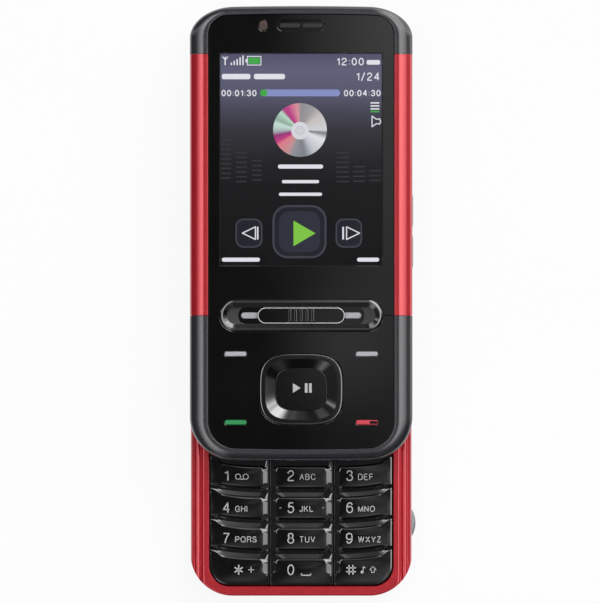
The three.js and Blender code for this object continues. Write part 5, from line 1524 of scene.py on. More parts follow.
def spools(x, y):
    """Two loops joined by a line, the usual mark for voice mail."""
    xs = (x + SPOOL_RADIUS, x + SPOOL_RADIUS * 4)
    parts = [
        ribbon(circle((at, y), SPOOL_RADIUS, SPOOL_STEPS), LETTER_STROKE, LEGEND_Z, True) for at in xs
    ]
    foot = [(at, y - SPOOL_RADIUS) for at in xs]
    return [*parts, straight(foot, LETTER_STROKE, LEGEND_Z)]


def cross(x, y, arm, turn, width):
    """One line through a point, turned by an angle."""
    dx, dy = arm * math.cos(turn), arm * math.sin(turn)
    return straight([(x - dx, y - dy), (x + dx, y + dy)], width, LEGEND_Z)


def flat(outline, z):
    return level(outline, z), [tuple(range(len(outline)))]


def add_legends():
    def show_legend(parts, key):
        show_print("legend_" + key, parts, FINISHES["legend"], key)

    for row, texts in enumerate(LETTERS):
        y = ROW_Y[row]
        for column, text in enumerate(texts):
            name = KEY_NAMES[row][column]
            parts = word(name[-1], DIGIT_HEIGHT, (DIGIT_X[column], y, LEGEND_Z), 0.5, DIGIT_STROKE)
            if text:
                at = (LETTER_X[column], y - LETTER_DROP, LEGEND_Z)
                parts += word(text, LETTER_HEIGHT, at, 0, LETTER_STROKE, LETTER_WIDE)
            else:
                parts += spools(LETTER_X[0], y - SPOOL_DROP)
            show_legend(parts, name)
    y = ROW_Y[3]
    right, up = 0, math.pi / 2
    star = [cross(STAR_X, y, STAR_ARM, turn, MARK_STROKE) for turn in (up, up / 3, -up / 3)]
    star += [cross(PLUS_X, y, PLUS_ARM, turn, LETTER_STROKE) for turn in (right, up)]
    show_legend(star, "key_star")
    zero = word("0", DIGIT_HEIGHT, (DIGIT_X[1], y, LEGEND_Z), 0.5, DIGIT_STROKE)
    space = shifted(SPACE_LINE, SPACE_AT[0], y + SPACE_AT[1])
    show_legend([*zero, straight(space, SPACE_STROKE, LEGEND_Z)], "key_0")
    marks = []
    for gap in (-HASH_GAP, HASH_GAP):
        marks.append(cross(HASH_X, y + gap, HASH_ARM, right, MARK_STROKE))
        marks.append(cross(HASH_X + gap, y, HASH_ARM, up, MARK_STROKE))
    marks.append(straight(shifted(ARROW, ARROW_X, y), ARROW_STROKE, LEGEND_Z, True))
    marks.append(straight(shifted(NOTE, NOTE_X, y), NOTE_STROKE, LEGEND_Z))
    head = circle((NOTE_X + NOTE_HEAD[0], y + NOTE_HEAD[1]), NOTE_HEAD_RADIUS, NOTE_HEAD_STEPS)
    marks.append(flat(head, LEGEND_Z))
    show_legend(marks, "key_hash")


# Base: the ribbed frame, the end cap, the back and the battery cover.

RIB_CRESTS = (21.1, 22.5, 23.75)
RIB_HALVES = (0.62, 0.72, 0.6)
RIB_DROPS = (0, 0.22, 0.7)
RIB_DEPTH = 0.5
FIRST_RIB_IN = 3.6
RIB_SAMPLE = 0.06
SIDE_SAMPLES = 10
EDGE_ROUND = 0.35
SIDE_DROP = 1.6
WELL_CHAMFER = 0.14
SIDE_CUT = (21, 26)
ROCKER_Y = 30.1
ROCKER_LENGTH = 16.4
ROCKER_HEIGHT = 2.2
CAMERA_KEY_Y = -33.5
CAMERA_KEY_LENGTH = 5.6
CAMERA_KEY_HEIGHT = 2.6
DOOR_LENGTH = 10.6
DOOR_HEIGHT = 3.0


def shoulder_height(x):
    """The height of the frame's top at a distance from the middle: flat, then three round ribs."""
    out = abs(x)
    if out <= RIB_CRESTS[0]:
        return BASE_TOP
    if out > RIB_CRESTS[-1]:
        share = min((out - RIB_CRESTS[-1]) / (BODY_WIDTH / 2 - RIB_CRESTS[-1]), 1)
        return BASE_TOP - RIB_DROPS[-1] - SIDE_DROP * (1 - math.sqrt(1 - share**2))
    heights = []
    for crest, half, drop in zip(RIB_CRESTS, RIB_HALVES, RIB_DROPS):
        share = min(abs(out - crest) / half, 1)
        heights.append(BASE_TOP - drop - RIB_DEPTH * (1 - math.sqrt(1 - share**2)))
    return max(heights)


def frame_shares():
    """How far in from the outline the frame's top is sampled, closer where it is steep."""
    width = BODY_WIDTH / 2 - KEYPAD_HALF
    side = BODY_WIDTH / 2 - RIB_CRESTS[-1]
    distances = [side * (1 - math.sin(angle)) for angle in reversed(quarter(SIDE_SAMPLES))]
    count = int((FIRST_RIB_IN - side) / RIB_SAMPLE)
    distances += [side + RIB_SAMPLE * i for i in range(1, count)]
    return [min(d, width) / width for d in distances]


def frame_ring(p, well, wall):
    """The frame's section at a point of its outline, down into the keypad's well and back outside."""
    span = math.hypot(well[0] - p[0], well[1] - p[1])
    ring = []
    for share in frame_shares():
        x, y = mix(p[0], well[0], share), mix(p[1], well[1], share)
        missing = max(EDGE_ROUND - share * span, 0)
        edge = BASE_TOP - EDGE_ROUND + math.sqrt(EDGE_ROUND**2 - missing**2)
        ring.append((x, y, min(shoulder_height(x), edge)))
    near = 1 - WELL_CHAMFER / span
    return [
        *ring,
        (mix(p[0], well[0], near), mix(p[1], well[1], near), BASE_TOP),
        (*well, BASE_TOP - WELL_CHAMFER),
        (*well, FLANGE_UNDERSIDE),
        (*wall, FLANGE_UNDERSIDE),
        (*wall, FRAME_UNDERSIDE),
        (*p, FRAME_UNDERSIDE),
    ]


def add_base_frame():
    plans = (BASE_PLAN, KEYPAD_PLAN, smaller(BASE_PLAN, SHELL_WALL))
    rings = [frame_ring(*row) for row in zip(*(end_run(plan, -1, CAP_SEAM_Y - SEAM / 2) for plan in plans))]
    cuts = [
        (1, ROCKER_Y, ROCKER_LENGTH + 2 * FIT, ROCKER_HEIGHT),
        (1, CAMERA_KEY_Y, CAMERA_KEY_LENGTH + 2 * FIT, CAMERA_KEY_HEIGHT),
        (-1, 0, DOOR_LENGTH + 3 * FIT, DOOR_HEIGHT),
    ]
    tools = []
    for side, y, length, height in cuts:
        xs = sorted(side * x for x in SIDE_CUT)
        tools.append(block(xs, around(y, length), around(SIDE_Z, height + 2 * FIT)))
    mesh = carved("base_frame_shell", stack(rings), tools)
    show("base_frame_shell", mesh, "red_metal", "base", "base_frame")


CAP_EDGE_WIDTH = 1.9
CAP_EDGE_HEIGHT = 2.1
CAP_EDGE_STEPS = 10
NOSE_RADII = (1.85, 1.6)
NOSE_XS = (9.5, 2.5)
NOSE_CUT = 6


def add_end_cap():
    rings = [level(case_outline(BASE_PLAN), FRAME_UNDERSIDE)]
    for angle in quarter(CAP_EDGE_STEPS):
        plan = smaller(BASE_PLAN, CAP_EDGE_WIDTH * (1 - math.cos(angle)))
        rings.append(level(case_outline(plan), DECK_TOP - CAP_EDGE_HEIGHT * (1 - math.sin(angle))))
    tools = [
        block(WHOLE, (-FAR, CAP_SEAM_Y + SEAM / 2), (0, 2 * BASE_TOP)),
        prism(case_outline(smaller(BASE_PLAN, SHELL_WALL)), (0, FLANGE_UNDERSIDE)),
    ]
    for x, radius in zip(NOSE_XS, NOSE_RADII):
        tools.append(rod_along_y((x, SIDE_Z), radius + SEAM, around(END_Y, NOSE_CUT)))
    show("end_cap_shell", carved("end_cap_shell", stack(rings), tools), "charcoal", "base", "base_end_cap")


BACK_EDGE_WIDTH = 2.3
BACK_EDGE_HEIGHT = 3.3
BACK_STEPS = 14
COVER_WRAP = 2.1
COVER_SKIN = 0.9
GRIP_Y = 14.2
GRIP_WIDTH = 17.0
GRIP_LENGTH = 6.0
GRIP_DEPTH = 0.3
GRIP_RIDGES = 4
GRIP_PITCH = 1.2


def back_rings(inwards, top=FAR):
    """The rounded back up to a height, drawn in by a distance."""
    rings = []
    for angle in quarter(BACK_STEPS):
        z = BACK_EDGE_HEIGHT * (1 - math.cos(angle)) + inwards
        if z <= top:
            inset = BACK_EDGE_WIDTH * (1 - math.sin(angle)) + inwards
            rings.append(level(case_outline(smaller(BASE_PLAN, inset)), z))
    return rings


def back_core(inwards, top):
    """The space inside the back, up to a height."""
    sides = back_rings(inwards, BACK_EDGE_HEIGHT - SEAM)
    return stack([*sides, level(case_outline(smaller(BASE_PLAN, inwards)), top)])


def add_battery_cover():
    grip = stadium((0, GRIP_Y), GRIP_WIDTH, GRIP_LENGTH)
    tools = [
        block(WHOLE, (COVER_END_Y - SEAM, FAR), WHOLE),
        block(WHOLE, WHOLE, (COVER_WRAP, FAR)),
        back_core(COVER_SKIN, FAR),
        prism(grip, (-FAR, GRIP_DEPTH)),
    ]
    mesh = carved("battery_cover_shell", stack(back_rings(0)), tools)
    show("battery_cover_shell", mesh, "charcoal", "battery_cover", "battery_cover")


def add_cover_grip():
    """Ridges for the thumb in the dish at the cover's end."""
    ridges = []
    for number in range(GRIP_RIDGES):
        y = GRIP_Y + (number - (GRIP_RIDGES - 1) / 2) * GRIP_PITCH
        ridge = bar_at((0, y), GRIP_WIDTH - GRIP_LENGTH, GRIP_PITCH / 2)
        ridges.append(domed_down(ridge, (SEAM / 2, GRIP_DEPTH + SEAM), GRIP_PITCH / 5))
    show("battery_cover_ridges", ridges, "charcoal", "battery_cover")


COVER_GAP = COVER_SKIN + FIT
INNER_FLOOR = COVER_GAP + SHELL_WALL / 2
BACK_FLOOR = 1.2
BATTERY_HALF = 17.0
BATTERY_YS = (-31.0, 13.0)
BAY_WALL = 0.8
BATTERY_FIT = 0.25
BOARD_UNDERSIDE = 5.63
SIM_WIDTH = 23.8
SIM_LENGTH = 11.5
SIM_Y = -39.2
SCREW_X = 19.9
SCREW_Y = -13.92
SCREW_RADIUS = 0.75
SCREW_HEAD_RADIUS = 1.3
SCREW_HEAD_ZS = (1.2, 1.8)
SCREW_HEAD_EDGE = 0.15
DRIVE_RADIUS = 0.6
DRIVE_DEPTH = 0.35
DRIVE_SIDES = 6
BOSS_RADIUS = 1.6
SPEAKER_Y = 25.1
SLOT_COUNT = 5
SLOT_PITCH = 1.4
SLOT_HEIGHT = 0.7
SLOT_WIDTH = 9.0
SLOT_FLARE = 0.25
CAMERA_AT = (0, 36.0)
PANEL_WIDTH = 24.0
PANEL_LENGTH = 10.0
PANEL_THICKNESS = 0.8
PANEL_CORNER = 3.3
PANEL_EDGE = 0.25
LENS_RADIUS = 2.4
LENS_GLASS_RADIUS = 1.3
LENS_GLASS_EDGE = 0.2
LENS_RECESS = 0.3
LENS_RING_WIDTH = 0.35
LENS_RING_PROUD = 0.06
CAMERA_NOSE = 3.0
FLASH_AT = (7.6, CAMERA_AT[1])
FLASH_WIDTH = 4.4
FLASH_LENGTH = 2.2
FLASH_EDGE = 0.1


def battery_bay(out, zs):
    """A block round the battery, larger than it by a distance on every side."""
    ys = (BATTERY_YS[0] - out, BATTERY_YS[1] + out)
    return block(around(0, 2 * (BATTERY_HALF + out)), ys, zs)


def speaker_slots():
    slots = []
    for number in range(SLOT_COUNT):
        y = SPEAKER_Y + (number - (SLOT_COUNT - 1) / 2) * SLOT_PITCH
        outline_at = bar_at((0, y), SLOT_WIDTH, SLOT_HEIGHT)
        rings = [
            level(outline_at(-2 * SLOT_FLARE), -SLOT_FLARE),
            level(outline_at(0), SLOT_FLARE),
            level(outline_at(0), BACK_FLOOR + SHELL_WALL),
        ]
        slots.append(stack(rings))
    return slots


def panel_outline(inset):
    xs = around(CAMERA_AT[0], PANEL_WIDTH - 2 * inset)
    return rounded_box(xs, around(CAMERA_AT[1], PANEL_LENGTH - 2 * inset), PANEL_CORNER - inset)


def add_rear_shell():
    outer = stack(back_rings(0))
    past_cover = block(WHOLE, (COVER_END_Y + SEAM, FAR), WHOLE)
    wrap = block(WHOLE, WHOLE, (-FAR, COVER_WRAP + SEAM))
    upper = carved("upper", outer, [block(WHOLE, (-FAR, COVER_END_Y), WHOLE)])
    above = carved("above", outer, [past_cover, wrap])
    lower = carved("lower", back_core(COVER_GAP, BACK_EDGE_HEIGHT), [past_cover])
    wall = smaller(BASE_PLAN, SHELL_WALL + BACK_EDGE_WIDTH / 2)
    lower_plan = wall._replace(top=COVER_END_Y - SHELL_WALL)
    upper_plan = wall._replace(bottom=COVER_END_Y + SHELL_WALL / 2, bottom_corner=(SEAM, SEAM))
    hollows = [
        prism(case_outline(lower_plan), (INNER_FLOOR, FAR)),
        prism(case_outline(upper_plan), (BACK_FLOOR, FAR)),
    ]
    hollow = carved("hollow", parts_of(lower), hollows, [parts_of(upper), parts_of(above)])
    joined = [battery_bay(BATTERY_FIT + BAY_WALL, (COVER_GAP, BOARD_UNDERSIDE - SEAM))]
    sim_xs, sim_ys = around(0, SIM_WIDTH - SHELL_WALL), around(SIM_Y, SIM_LENGTH - SHELL_WALL)
    tools = [
        battery_bay(BATTERY_FIT, WHOLE),
        prism(rounded_box(sim_xs, sim_ys, BAY_WALL), (-FAR, INNER_FLOOR + SHELL_WALL)),
        prism(panel_outline(-SEAM), (-FAR, PANEL_THICKNESS + SEAM)),
        rod(CAMERA_AT, CAMERA_NOSE + SEAM, (-FAR, BACK_FLOOR + SHELL_WALL)),
    ]
    for x in (-SCREW_X, SCREW_X):
        at = (x, SCREW_Y)
        joined.append(rod(at, BOSS_RADIUS, (COVER_GAP + SEAM, BACK_EDGE_HEIGHT)))
        tools.append(rod(at, SCREW_RADIUS + FIT, WHOLE))
        tools.append(rod(at, SCREW_HEAD_RADIUS + SEAM, (-FAR, SCREW_HEAD_ZS[1] + SEAM)))
    tools += speaker_slots()
    mesh = carved("rear_shell_skin", parts_of(hollow), tools, joined)
    show("rear_shell_skin", mesh, "back_black", "base", "rear_shell")
    for part in (upper, above, lower, hollow):
        bpy.data.meshes.remove(part)


def add_camera_panel():
    """The window of the camera, with its lens ring and its flash."""
    recess = SEAM + LENS_RECESS
    flash = bar_at(FLASH_AT, FLASH_WIDTH, FLASH_LENGTH)
    panel = domed_down(panel_outline, (SEAM, PANEL_THICKNESS), PANEL_EDGE)
    tools = [rod(CAMERA_AT, LENS_RADIUS, (-FAR, recess)), prism(flash(0), (-FAR, recess))]
    mesh = carved("camera_panel_skin", panel, tools)
    show("camera_panel_skin", mesh, "gloss_black", "base", "camera_panel")
    width, proud = LENS_RING_WIDTH, LENS_RING_PROUD
    section = [
        (width, SEAM + PANEL_EDGE / 2),
        (width, SEAM - proud / 2),
        (width - proud, SEAM - proud),
        (0, SEAM - proud),
        (-proud, SEAM),
        (-width, recess - MERGE),
        (0, recess - MERGE),
        (0, SEAM + PANEL_EDGE / 2),
    ]
    rings = [level(circle(CAMERA_AT, LENS_RADIUS + out), z) for out, z in section]
    show("lens_ring", [stack(rings, closed=True)], "silver", "base")
    zs = (SEAM + proud, recess)
    lens = domed_down(disc_at(CAMERA_AT, LENS_GLASS_RADIUS), zs, LENS_GLASS_EDGE)
    show("lens_glass", [lens], "lens", "base")
    window = bar_at(FLASH_AT, FLASH_WIDTH - 2 * SEAM, FLASH_LENGTH - 2 * SEAM)
    show("flash_window", [domed_down(window, zs, FLASH_EDGE)], "flash", "base")


def add_housing_screws():
    shank_zs = (SCREW_HEAD_ZS[1] - SEAM, FLANGE_UNDERSIDE - SHELL_WALL - FIT)
    for node, x in (("housing_screw_left", -SCREW_X), ("housing_screw_right", SCREW_X)):
        at = (x, SCREW_Y)
        head = domed_down(disc_at(at, SCREW_HEAD_RADIUS), SCREW_HEAD_ZS, SCREW_HEAD_EDGE)
        drive = prism(circle(at, DRIVE_RADIUS, DRIVE_SIDES), (-FAR, SCREW_HEAD_ZS[0] + DRIVE_DEPTH))
        mesh = carved(node + "_steel", head, [drive], [rod(at, SCREW_RADIUS, shank_zs)])
        show(node + "_steel", mesh, "steel", "base", node)


BORE_RADII = (1.4, 1.1)
CONNECTOR_DEPTH = 8.2
CONNECTOR_HEIGHT = 3.5
CONNECTOR_BACK = END_Y - SHELL_WALL - FIT
BORE_START = CONNECTOR_BACK - CONNECTOR_DEPTH + 2 * SHELL_WALL
NOSE_EDGE = 0.2
LINER_WALL = 0.12
PIN_RADIUS = 0.3


def add_connectors():
    """The two round sockets at the top end, with metal liners and the charger's pin."""
    top = FLANGE_UNDERSIDE - FIT
    body = block(
        (NOSE_XS[1] - NOSE_RADII[1] - FIT, NOSE_XS[0] + NOSE_RADII[0] + FIT),
        (CONNECTOR_BACK - CONNECTOR_DEPTH + SHELL_WALL, CONNECTOR_BACK),
        (top - CONNECTOR_HEIGHT, top),
    )
    start, edge = END_Y - NOSE_EDGE, NOSE_EDGE
    noses, bores, liners = [], [], []
    for x, radius, bore in zip(NOSE_XS, NOSE_RADII, BORE_RADII):
        at = (x, SIDE_Z)
        nose = [(radius, CONNECTOR_BACK - FIT), (radius, start), (radius - edge / 3, END_Y - edge / 3)]
        nose.append((radius - edge, END_Y))
        noses.append(stack([ring_at_y(at, size, y) for size, y in nose]))
        bores.append(rod_along_y(at, bore, (BORE_START, END_Y + edge)))
        inside = bore - LINER_WALL
        liner = [(bore, start), (inside, start), (inside, BORE_START), (bore, BORE_START)]
        liners.append(stack([ring_at_y(at, size - MERGE, y) for size, y in liner], closed=True))
    mesh = carved("connector_shell", body, bores, noses)
    show("connector_shell", mesh, "inner_plastic", "base", "connector_block")
    pin = rod_along_y((NOSE_XS[1], SIDE_Z), PIN_RADIUS, (BORE_START, END_Y - SHELL_WALL))
    show("socket_liners", [*liners, pin], "silver", "base")


# Display: a plain music screen under the window. Its marks are placed in the picture's pixels.

SCREEN_Z = 15.56
LAYER = 0.012
LAYERS = [SCREEN_Z + LAYER * i for i in range(5)]
PIXELS_PER_MM = 4.614
SCREEN_CENTRE_X = 301.2
SCREEN_TOP_PX = 6.1
DISC_PX = (300.0, 130.0)
DISC_RADIUS_PX = 26.8
HUB_DROP_PX = 0.7
HUB_PX = (DISC_PX[0], DISC_PX[1] + HUB_DROP_PX)
HUB_RADIUS_PX = 8.8
HUB_RINGS_PX = (2.2, 4.2)
HUB_RING_STEPS = 48
HUB_RING_WIDTH = 0.1
TEXT_STROKE_PX = 1.1
BACKDROP_STOPS = [
    (0, (84, 84, 108)), (0.08, (98, 99, 122)), (0.2, (88, 88, 108)), (0.27, (70, 70, 84)),
    (0.36, (52, 51, 58)), (0.5, (32, 31, 34)), (0.62, (18, 18, 19)), (1, (7, 7, 8)),
]
SHEEN_STOPS = [
    (0, (176, 196, 192)), (0.035, (150, 60, 120)), (0.075, (196, 60, 130)), (0.1, (226, 130, 140)),
    (0.17, (200, 150, 150)), (0.2, (150, 152, 156)), (0.28, (128, 132, 136)), (0.34, (196, 200, 204)),
    (0.44, (232, 234, 236)), (0.48, (120, 122, 126)), (0.5, (214, 216, 218)), (0.6, (206, 200, 196)),
    (0.66, (166, 162, 160)), (0.74, (146, 148, 150)), (0.77, (222, 150, 156)), (0.83, (196, 70, 140)),
    (0.86, (176, 70, 130)), (0.88, (190, 226, 200)), (0.93, (150, 176, 160)), (0.96, (206, 230, 216)),
    (1, (176, 196, 192)),
]

# Words as text, x, middle y, height, anchor (0 starts at x and 1 ends there) and share of full width.
WORDS = [
    ("12:00", 363.2, 61.8, 7.6, 1, 1.05),
    ("1/24", 379, 76.8, 8.2, 1, 0.98),
    ("00:01:30", 222, 93.2, 6.4, 0, 0.98),
    ("00:04:30", 380, 93.2, 6.4, 1, 0.98),
]

# Bars as left, right, top and bottom edge, and corner radius where it isn't 0.
WHITE_BARS = [
    (366.5, 380, 60.2, 64.8, 1.6), (222, 250.5, 74, 79.4, 2), (254, 285, 74, 79.4, 2),
    (278, 323, 164.5, 168.6, 2), (282, 319, 180, 183.2, 1.5), (279, 322, 192.6, 195.8, 1.5),
    (222, 260, 257.5, 261.5, 2), (357, 379, 257.5, 261.5, 2), (224.7, 225.9, 57, 65.3),
    (245.6, 247.3, 59.3, 62.6), (370.4, 379.2, 102.3, 103.7), (370.4, 379.2, 105.3, 106.7),
    (370.4, 379.2, 108.3, 109.7),
]
BACKDROP = (220.5, 381.5, 54, 265.3)
CHARGE = (248.6, 260, 57.8, 64, 0.8)
LAST_LINE = (370.4, 379.2, 110.9, 112.4)
TIME_KNOB = (260.3, 267.5, 89.6, 96.4, 3.2)
TIME_LEFT = (261, 340, 89.6, 96.4, 3.3)
BUTTONS = [(272.5, 326.5, 205, 258, 15), (235.5, 262.5, 218.5, 247.5, 8), (335.5, 362, 218.5, 247.5, 8)]
BUTTON_FACES = [(274.5, 324.5, 207, 256, 13.5), (237, 261, 220, 246, 7), (337, 360.5, 220, 246, 7)]
PLAY_FACE = (279, 320, 211, 252, 11)
SIGNAL_HEIGHTS = (2.5, 4.3, 6, 7.8, 9.6)
SIGNAL_X = 230.8
SIGNAL_PITCH = 2.9
SIGNAL_WIDTH = 1.4
SIGNAL_FOOT = 65.3
SKIP_MIDDLE = 233
SKIP_HALF = 6.3
SKIP_STROKE = 0.24
# For each skip mark: the x of its triangle's base and tip, and the edges of its bar.
SKIPS = [(255.5, 242.5, (257, 258.5)), (346.5, 359.5, (342.2, 343.9))]
FAINT_COLUMNS = [
    (221, 231, 139), (236, 247, 152), (252, 262, 160), (336, 349, 152), (353, 365, 166), (369, 381, 170),
]
FAINT_END = 182
FAINT_HEIGHT = 1.4
FAINT_PITCH = 4.8

# Drawn lines as layer, stroke width, whether closed, and points.
MARKS = [
    (2, 0.2, False, [(222.6, 56.8), (225.3, 60), (228, 56.8)]),
    (3, 0.18, True, [(247.5, 56.6), (261, 56.6), (261, 65.2), (247.5, 65.2)]),
    (2, 0.22, True, [
        (371.9, 116.2), (371.9, 126.8), (376.5, 123.6), (379.4, 124.2), (380.6, 121.5), (379.4, 118.8),
        (376.5, 119.4),
    ]),
]
PLAY_MARK = [(293.5, 246), (293.5, 220.5), (315.5, 233.2)]


def screen_point(px, py):
    """The slider's own x and y for a place in the picture."""
    return ((px - SCREEN_CENTRE_X) / PIXELS_PER_MM, END_Y - (py - SCREEN_TOP_PX) / PIXELS_PER_MM)


def dark_pixels(name):
    return Finish(name, (2, 2, 2), 0.4, specular=0.1)


def glow(name, colour):
    """A colour on the lit screen."""
    f = dark_pixels(name)
    f.glow(f.ramp(f.noise(0.35, 1.0), [(0.2, tuple(c * 0.97 for c in colour)), (0.8, colour)]), 1.0)
    return f.material


def screen_gradient():
    """The screen's backdrop: slate blue at the top, falling to near black."""
    f = dark_pixels("screen_backdrop")
    y = f.fill(f.node("SeparateXYZ"), "Y", Vector=f.place())
    bottom, top = ((value + SLIDE_TRAVEL) * MM for value in around(DISPLAY_Y, DISPLAY_LENGTH))
    fall = f.fill(f.node("MapRange"), "Result", Value=y, From_Min=top, From_Max=bottom)
    f.glow(f.ramp(fall, BACKDROP_STOPS), 1.0)
    return f.material


def disc_glow():
    """Coloured sectors like the sheen of a disc, round the disc's middle."""
    f = dark_pixels("disc_sheen")
    x, y = screen_point(*DISC_PX)
    shift = f.node("VectorMath", operation="SUBTRACT")
    f.feed(f.place(), shift.inputs[0])
    f.feed((x * MM, (y + SLIDE_TRAVEL) * MM, 0), shift.inputs[1])
    split = f.node("SeparateXYZ")
    f.feed(shift.outputs["Vector"], split.inputs["Vector"])
    angle = f.math("ARCTAN2", split.outputs["Y"], split.outputs["X"])
    turn = f.fill(f.node("MapRange"), "Result", Value=angle, From_Min=-math.pi, From_Max=math.pi)
    f.glow(f.ramp(turn, SHEEN_STOPS), 1.0)
    return f.material


def px_bar(layer, x0, x1, y0, y1, radius_px=0):
    xs, ys = zip(screen_point(x0, y1), screen_point(x1, y0))
    if radius_px:
        return flat(rounded_box(xs, ys, radius_px / PIXELS_PER_MM), LAYERS[layer])
    return flat([(xs[0], ys[0]), (xs[1], ys[0]), (xs[1], ys[1]), (xs[0], ys[1])], LAYERS[layer])


def px_bars(layer, *bars):
    return [px_bar(layer, *bar) for bar in bars]


def px_line(layer, width, closed, points):
    return straight([screen_point(*p) for p in points], width, LAYERS[layer], closed)


def px_disc(layer, centre, radius_px):
    return flat(circle(screen_point(*centre), radius_px / PIXELS_PER_MM), LAYERS[layer])


def white_marks():
    parts = px_bars(2, *WHITE_BARS)
    for text, x, y, height, anchor, wide in WORDS:
        at = (*screen_point(x, y), LAYERS[2])
        stroke = TEXT_STROKE_PX / PIXELS_PER_MM
        parts += word(text, height / PIXELS_PER_MM, at, anchor, stroke, wide)
    for i, height in enumerate(SIGNAL_HEIGHTS):
        x = SIGNAL_X + SIGNAL_PITCH * i
        parts.append(px_bar(2, x, x + SIGNAL_WIDTH, SIGNAL_FOOT - height, SIGNAL_FOOT))
    parts += [px_line(*mark) for mark in MARKS]
    low, high = SKIP_MIDDLE - SKIP_HALF, SKIP_MIDDLE + SKIP_HALF
    for base, tip, bar in SKIPS:
        parts.append(px_line(4, SKIP_STROKE, True, [(base, low), (base, high), (tip, SKIP_MIDDLE)]))
        parts.append(px_bar(4, *bar, low, high))
    return parts


def faint_bars():
    """Bars of a level meter on both sides of the disc."""
    parts = []
    for x0, x1, y in FAINT_COLUMNS:
        while y < FAINT_END:
            parts.append(px_bar(1, x0, x1, y, y + FAINT_HEIGHT))
            y += FAINT_PITCH
    return parts


def add_screen():
    greens = [px_bar(2, *CHARGE), px_bar(2, *LAST_LINE), px_bar(3, *TIME_KNOB)]
    hub_at = screen_point(*HUB_PX)
    rings = []
    for radius in HUB_RINGS_PX:
        line = circle(hub_at, radius / PIXELS_PER_MM, HUB_RING_STEPS)
        rings.append(ribbon(line, HUB_RING_WIDTH, LAYERS[4], True))
    buttons, faces = px_bars(1, *BUTTONS), px_bars(2, *BUTTON_FACES)
    play = flat([screen_point(*p) for p in PLAY_MARK], LAYERS[4])
    for name, parts, material in (
        ("backdrop", [px_bar(0, *BACKDROP)], screen_gradient()),
        ("marks", white_marks(), glow("screen_white", (236, 236, 240))),
        ("green_marks", greens, glow("screen_green", (70, 176, 76))),
        ("progress", [px_bar(2, *TIME_LEFT)], glow("screen_blue", (140, 150, 200))),
        ("disc", [px_disc(2, DISC_PX, DISC_RADIUS_PX)], disc_glow()),
        ("disc_hub", [px_disc(3, HUB_PX, HUB_RADIUS_PX)], glow("screen_hub", (226, 226, 230))),
        ("disc_rings", rings, glow("screen_grey", (170, 170, 176))),
        ("bars", faint_bars(), glow("screen_faint", (54, 54, 58))),
        ("buttons", buttons, glow("screen_button_edge", (66, 68, 78))),
        ("button_faces", faces, glow("screen_button_face", (30, 31, 40))),
        ("play_face", [px_bar(3, *PLAY_FACE)], glow("screen_play", (46, 48, 60))),
        ("play_mark", [play], glow("screen_play_green", (132, 204, 70))),
    ):
        show_print("screen_" + name, parts, material, "slider")


# Side controls.

FLANGE_OUTSIDE = BODY_WIDTH / 2 - SHELL_WALL - 2 * FIT
FLANGE_THICKNESS = 0.6
FLANGE_XS = (FLANGE_OUTSIDE - FLANGE_THICKNESS, FLANGE_OUTSIDE)
FLANGE_EXTRA = 1
SIDE_KEY_STEPS = 40
ROCKER_X = 24.4
ROCKER_WAIST = 0.22
ROCKER_WAIST_SHARE = 0.12
ROCKER_END_SHARE = 0.93
ROCKER_END_FALL = 0.245
ROCKER_EDGE = 0.25
CAMERA_KEY_X = 24.25
CAMERA_KEY_CROWN = 0.7
CAMERA_KEY_SECTION = [(-1.3, 0.4), (-1.18, 0.2), (-0.9, 0.04), (0, 0), (0.9, 0.04), (1.18, 0.2), (1.3, 0.4)]
DOOR_SECTION = [(-24.05, 0.25), (-23.97, 0.075), (-23.8, 0), (-23.3, 0)]
DOOR_CORNER = 0.5


def rocker_x(share):
    """How far out the rocker is, for a share from -1 to 1 of the way along it."""
    end = max(abs(share) - ROCKER_END_SHARE, 0) / (1 - ROCKER_END_SHARE)
    waist = ROCKER_WAIST * math.exp(-((share / ROCKER_WAIST_SHARE) ** 2))
    return ROCKER_X - waist - ROCKER_END_FALL * end * end


def camera_key_x(share):
    return CAMERA_KEY_X + CAMERA_KEY_CROWN * (1 - share * share)


def side_key(y, length, outer_x, section, flange_length, flange_height):
    """A key in the right side with a flange that holds it. section gives heights about the middle and
    how much the key is drawn in there."""
    shares = [2 * i / SIDE_KEY_STEPS - 1 for i in range(SIDE_KEY_STEPS + 1)]
    face = [(outer_x(share), y + length / 2 * share) for share in shares]
    rings = []
    for up, pull in section:
        ring = [(FLANGE_XS[0], y - length / 2), *shifted(face, -pull, 0), (FLANGE_XS[0], y + length / 2)]
        rings.append(level(ring, SIDE_Z + up))
    flange = block(FLANGE_XS, around(y, flange_length), around(SIDE_Z, flange_height))
    return [stack(rings), flange]


def add_side_controls():
    half = ROCKER_HEIGHT / 2
    edge = ROCKER_EDGE
    section = [(-half, edge), (edge - half, 0), (half - edge, 0), (half, edge)]
    sizes = (ROCKER_LENGTH - 2 * SHELL_WALL, ROCKER_HEIGHT + FLANGE_EXTRA)
    rocker = side_key(ROCKER_Y, ROCKER_LENGTH, rocker_x, section, *sizes)
    show("volume_rocker_cap", rocker, "charcoal", "volume_rocker", "volume_rocker")
    sizes = (CAMERA_KEY_LENGTH + FLANGE_EXTRA, CAMERA_KEY_HEIGHT + FLANGE_EXTRA)
    key = side_key(CAMERA_KEY_Y, CAMERA_KEY_LENGTH, camera_key_x, CAMERA_KEY_SECTION, *sizes)
    show("camera_key_cap", key, "silver", "camera_key", "camera_key")
    rings = []
    for x, pull in DOOR_SECTION:
        ys, zs = around(0, DOOR_LENGTH - 2 * pull), around(SIDE_Z, DOOR_HEIGHT - 2 * pull)
        rings.append([(x, y, z) for y, z in rounded_box(ys, zs, DOOR_CORNER)])
    show("port_door_panel", [stack(rings)], "red_metal", "port_door", "port_door")


# Floor, light and camera.

FLOOR_GAP = 0.02
FLOOR_HALF = 3.0  # metres
FLOOR_WHITE_SHARE = 0.9


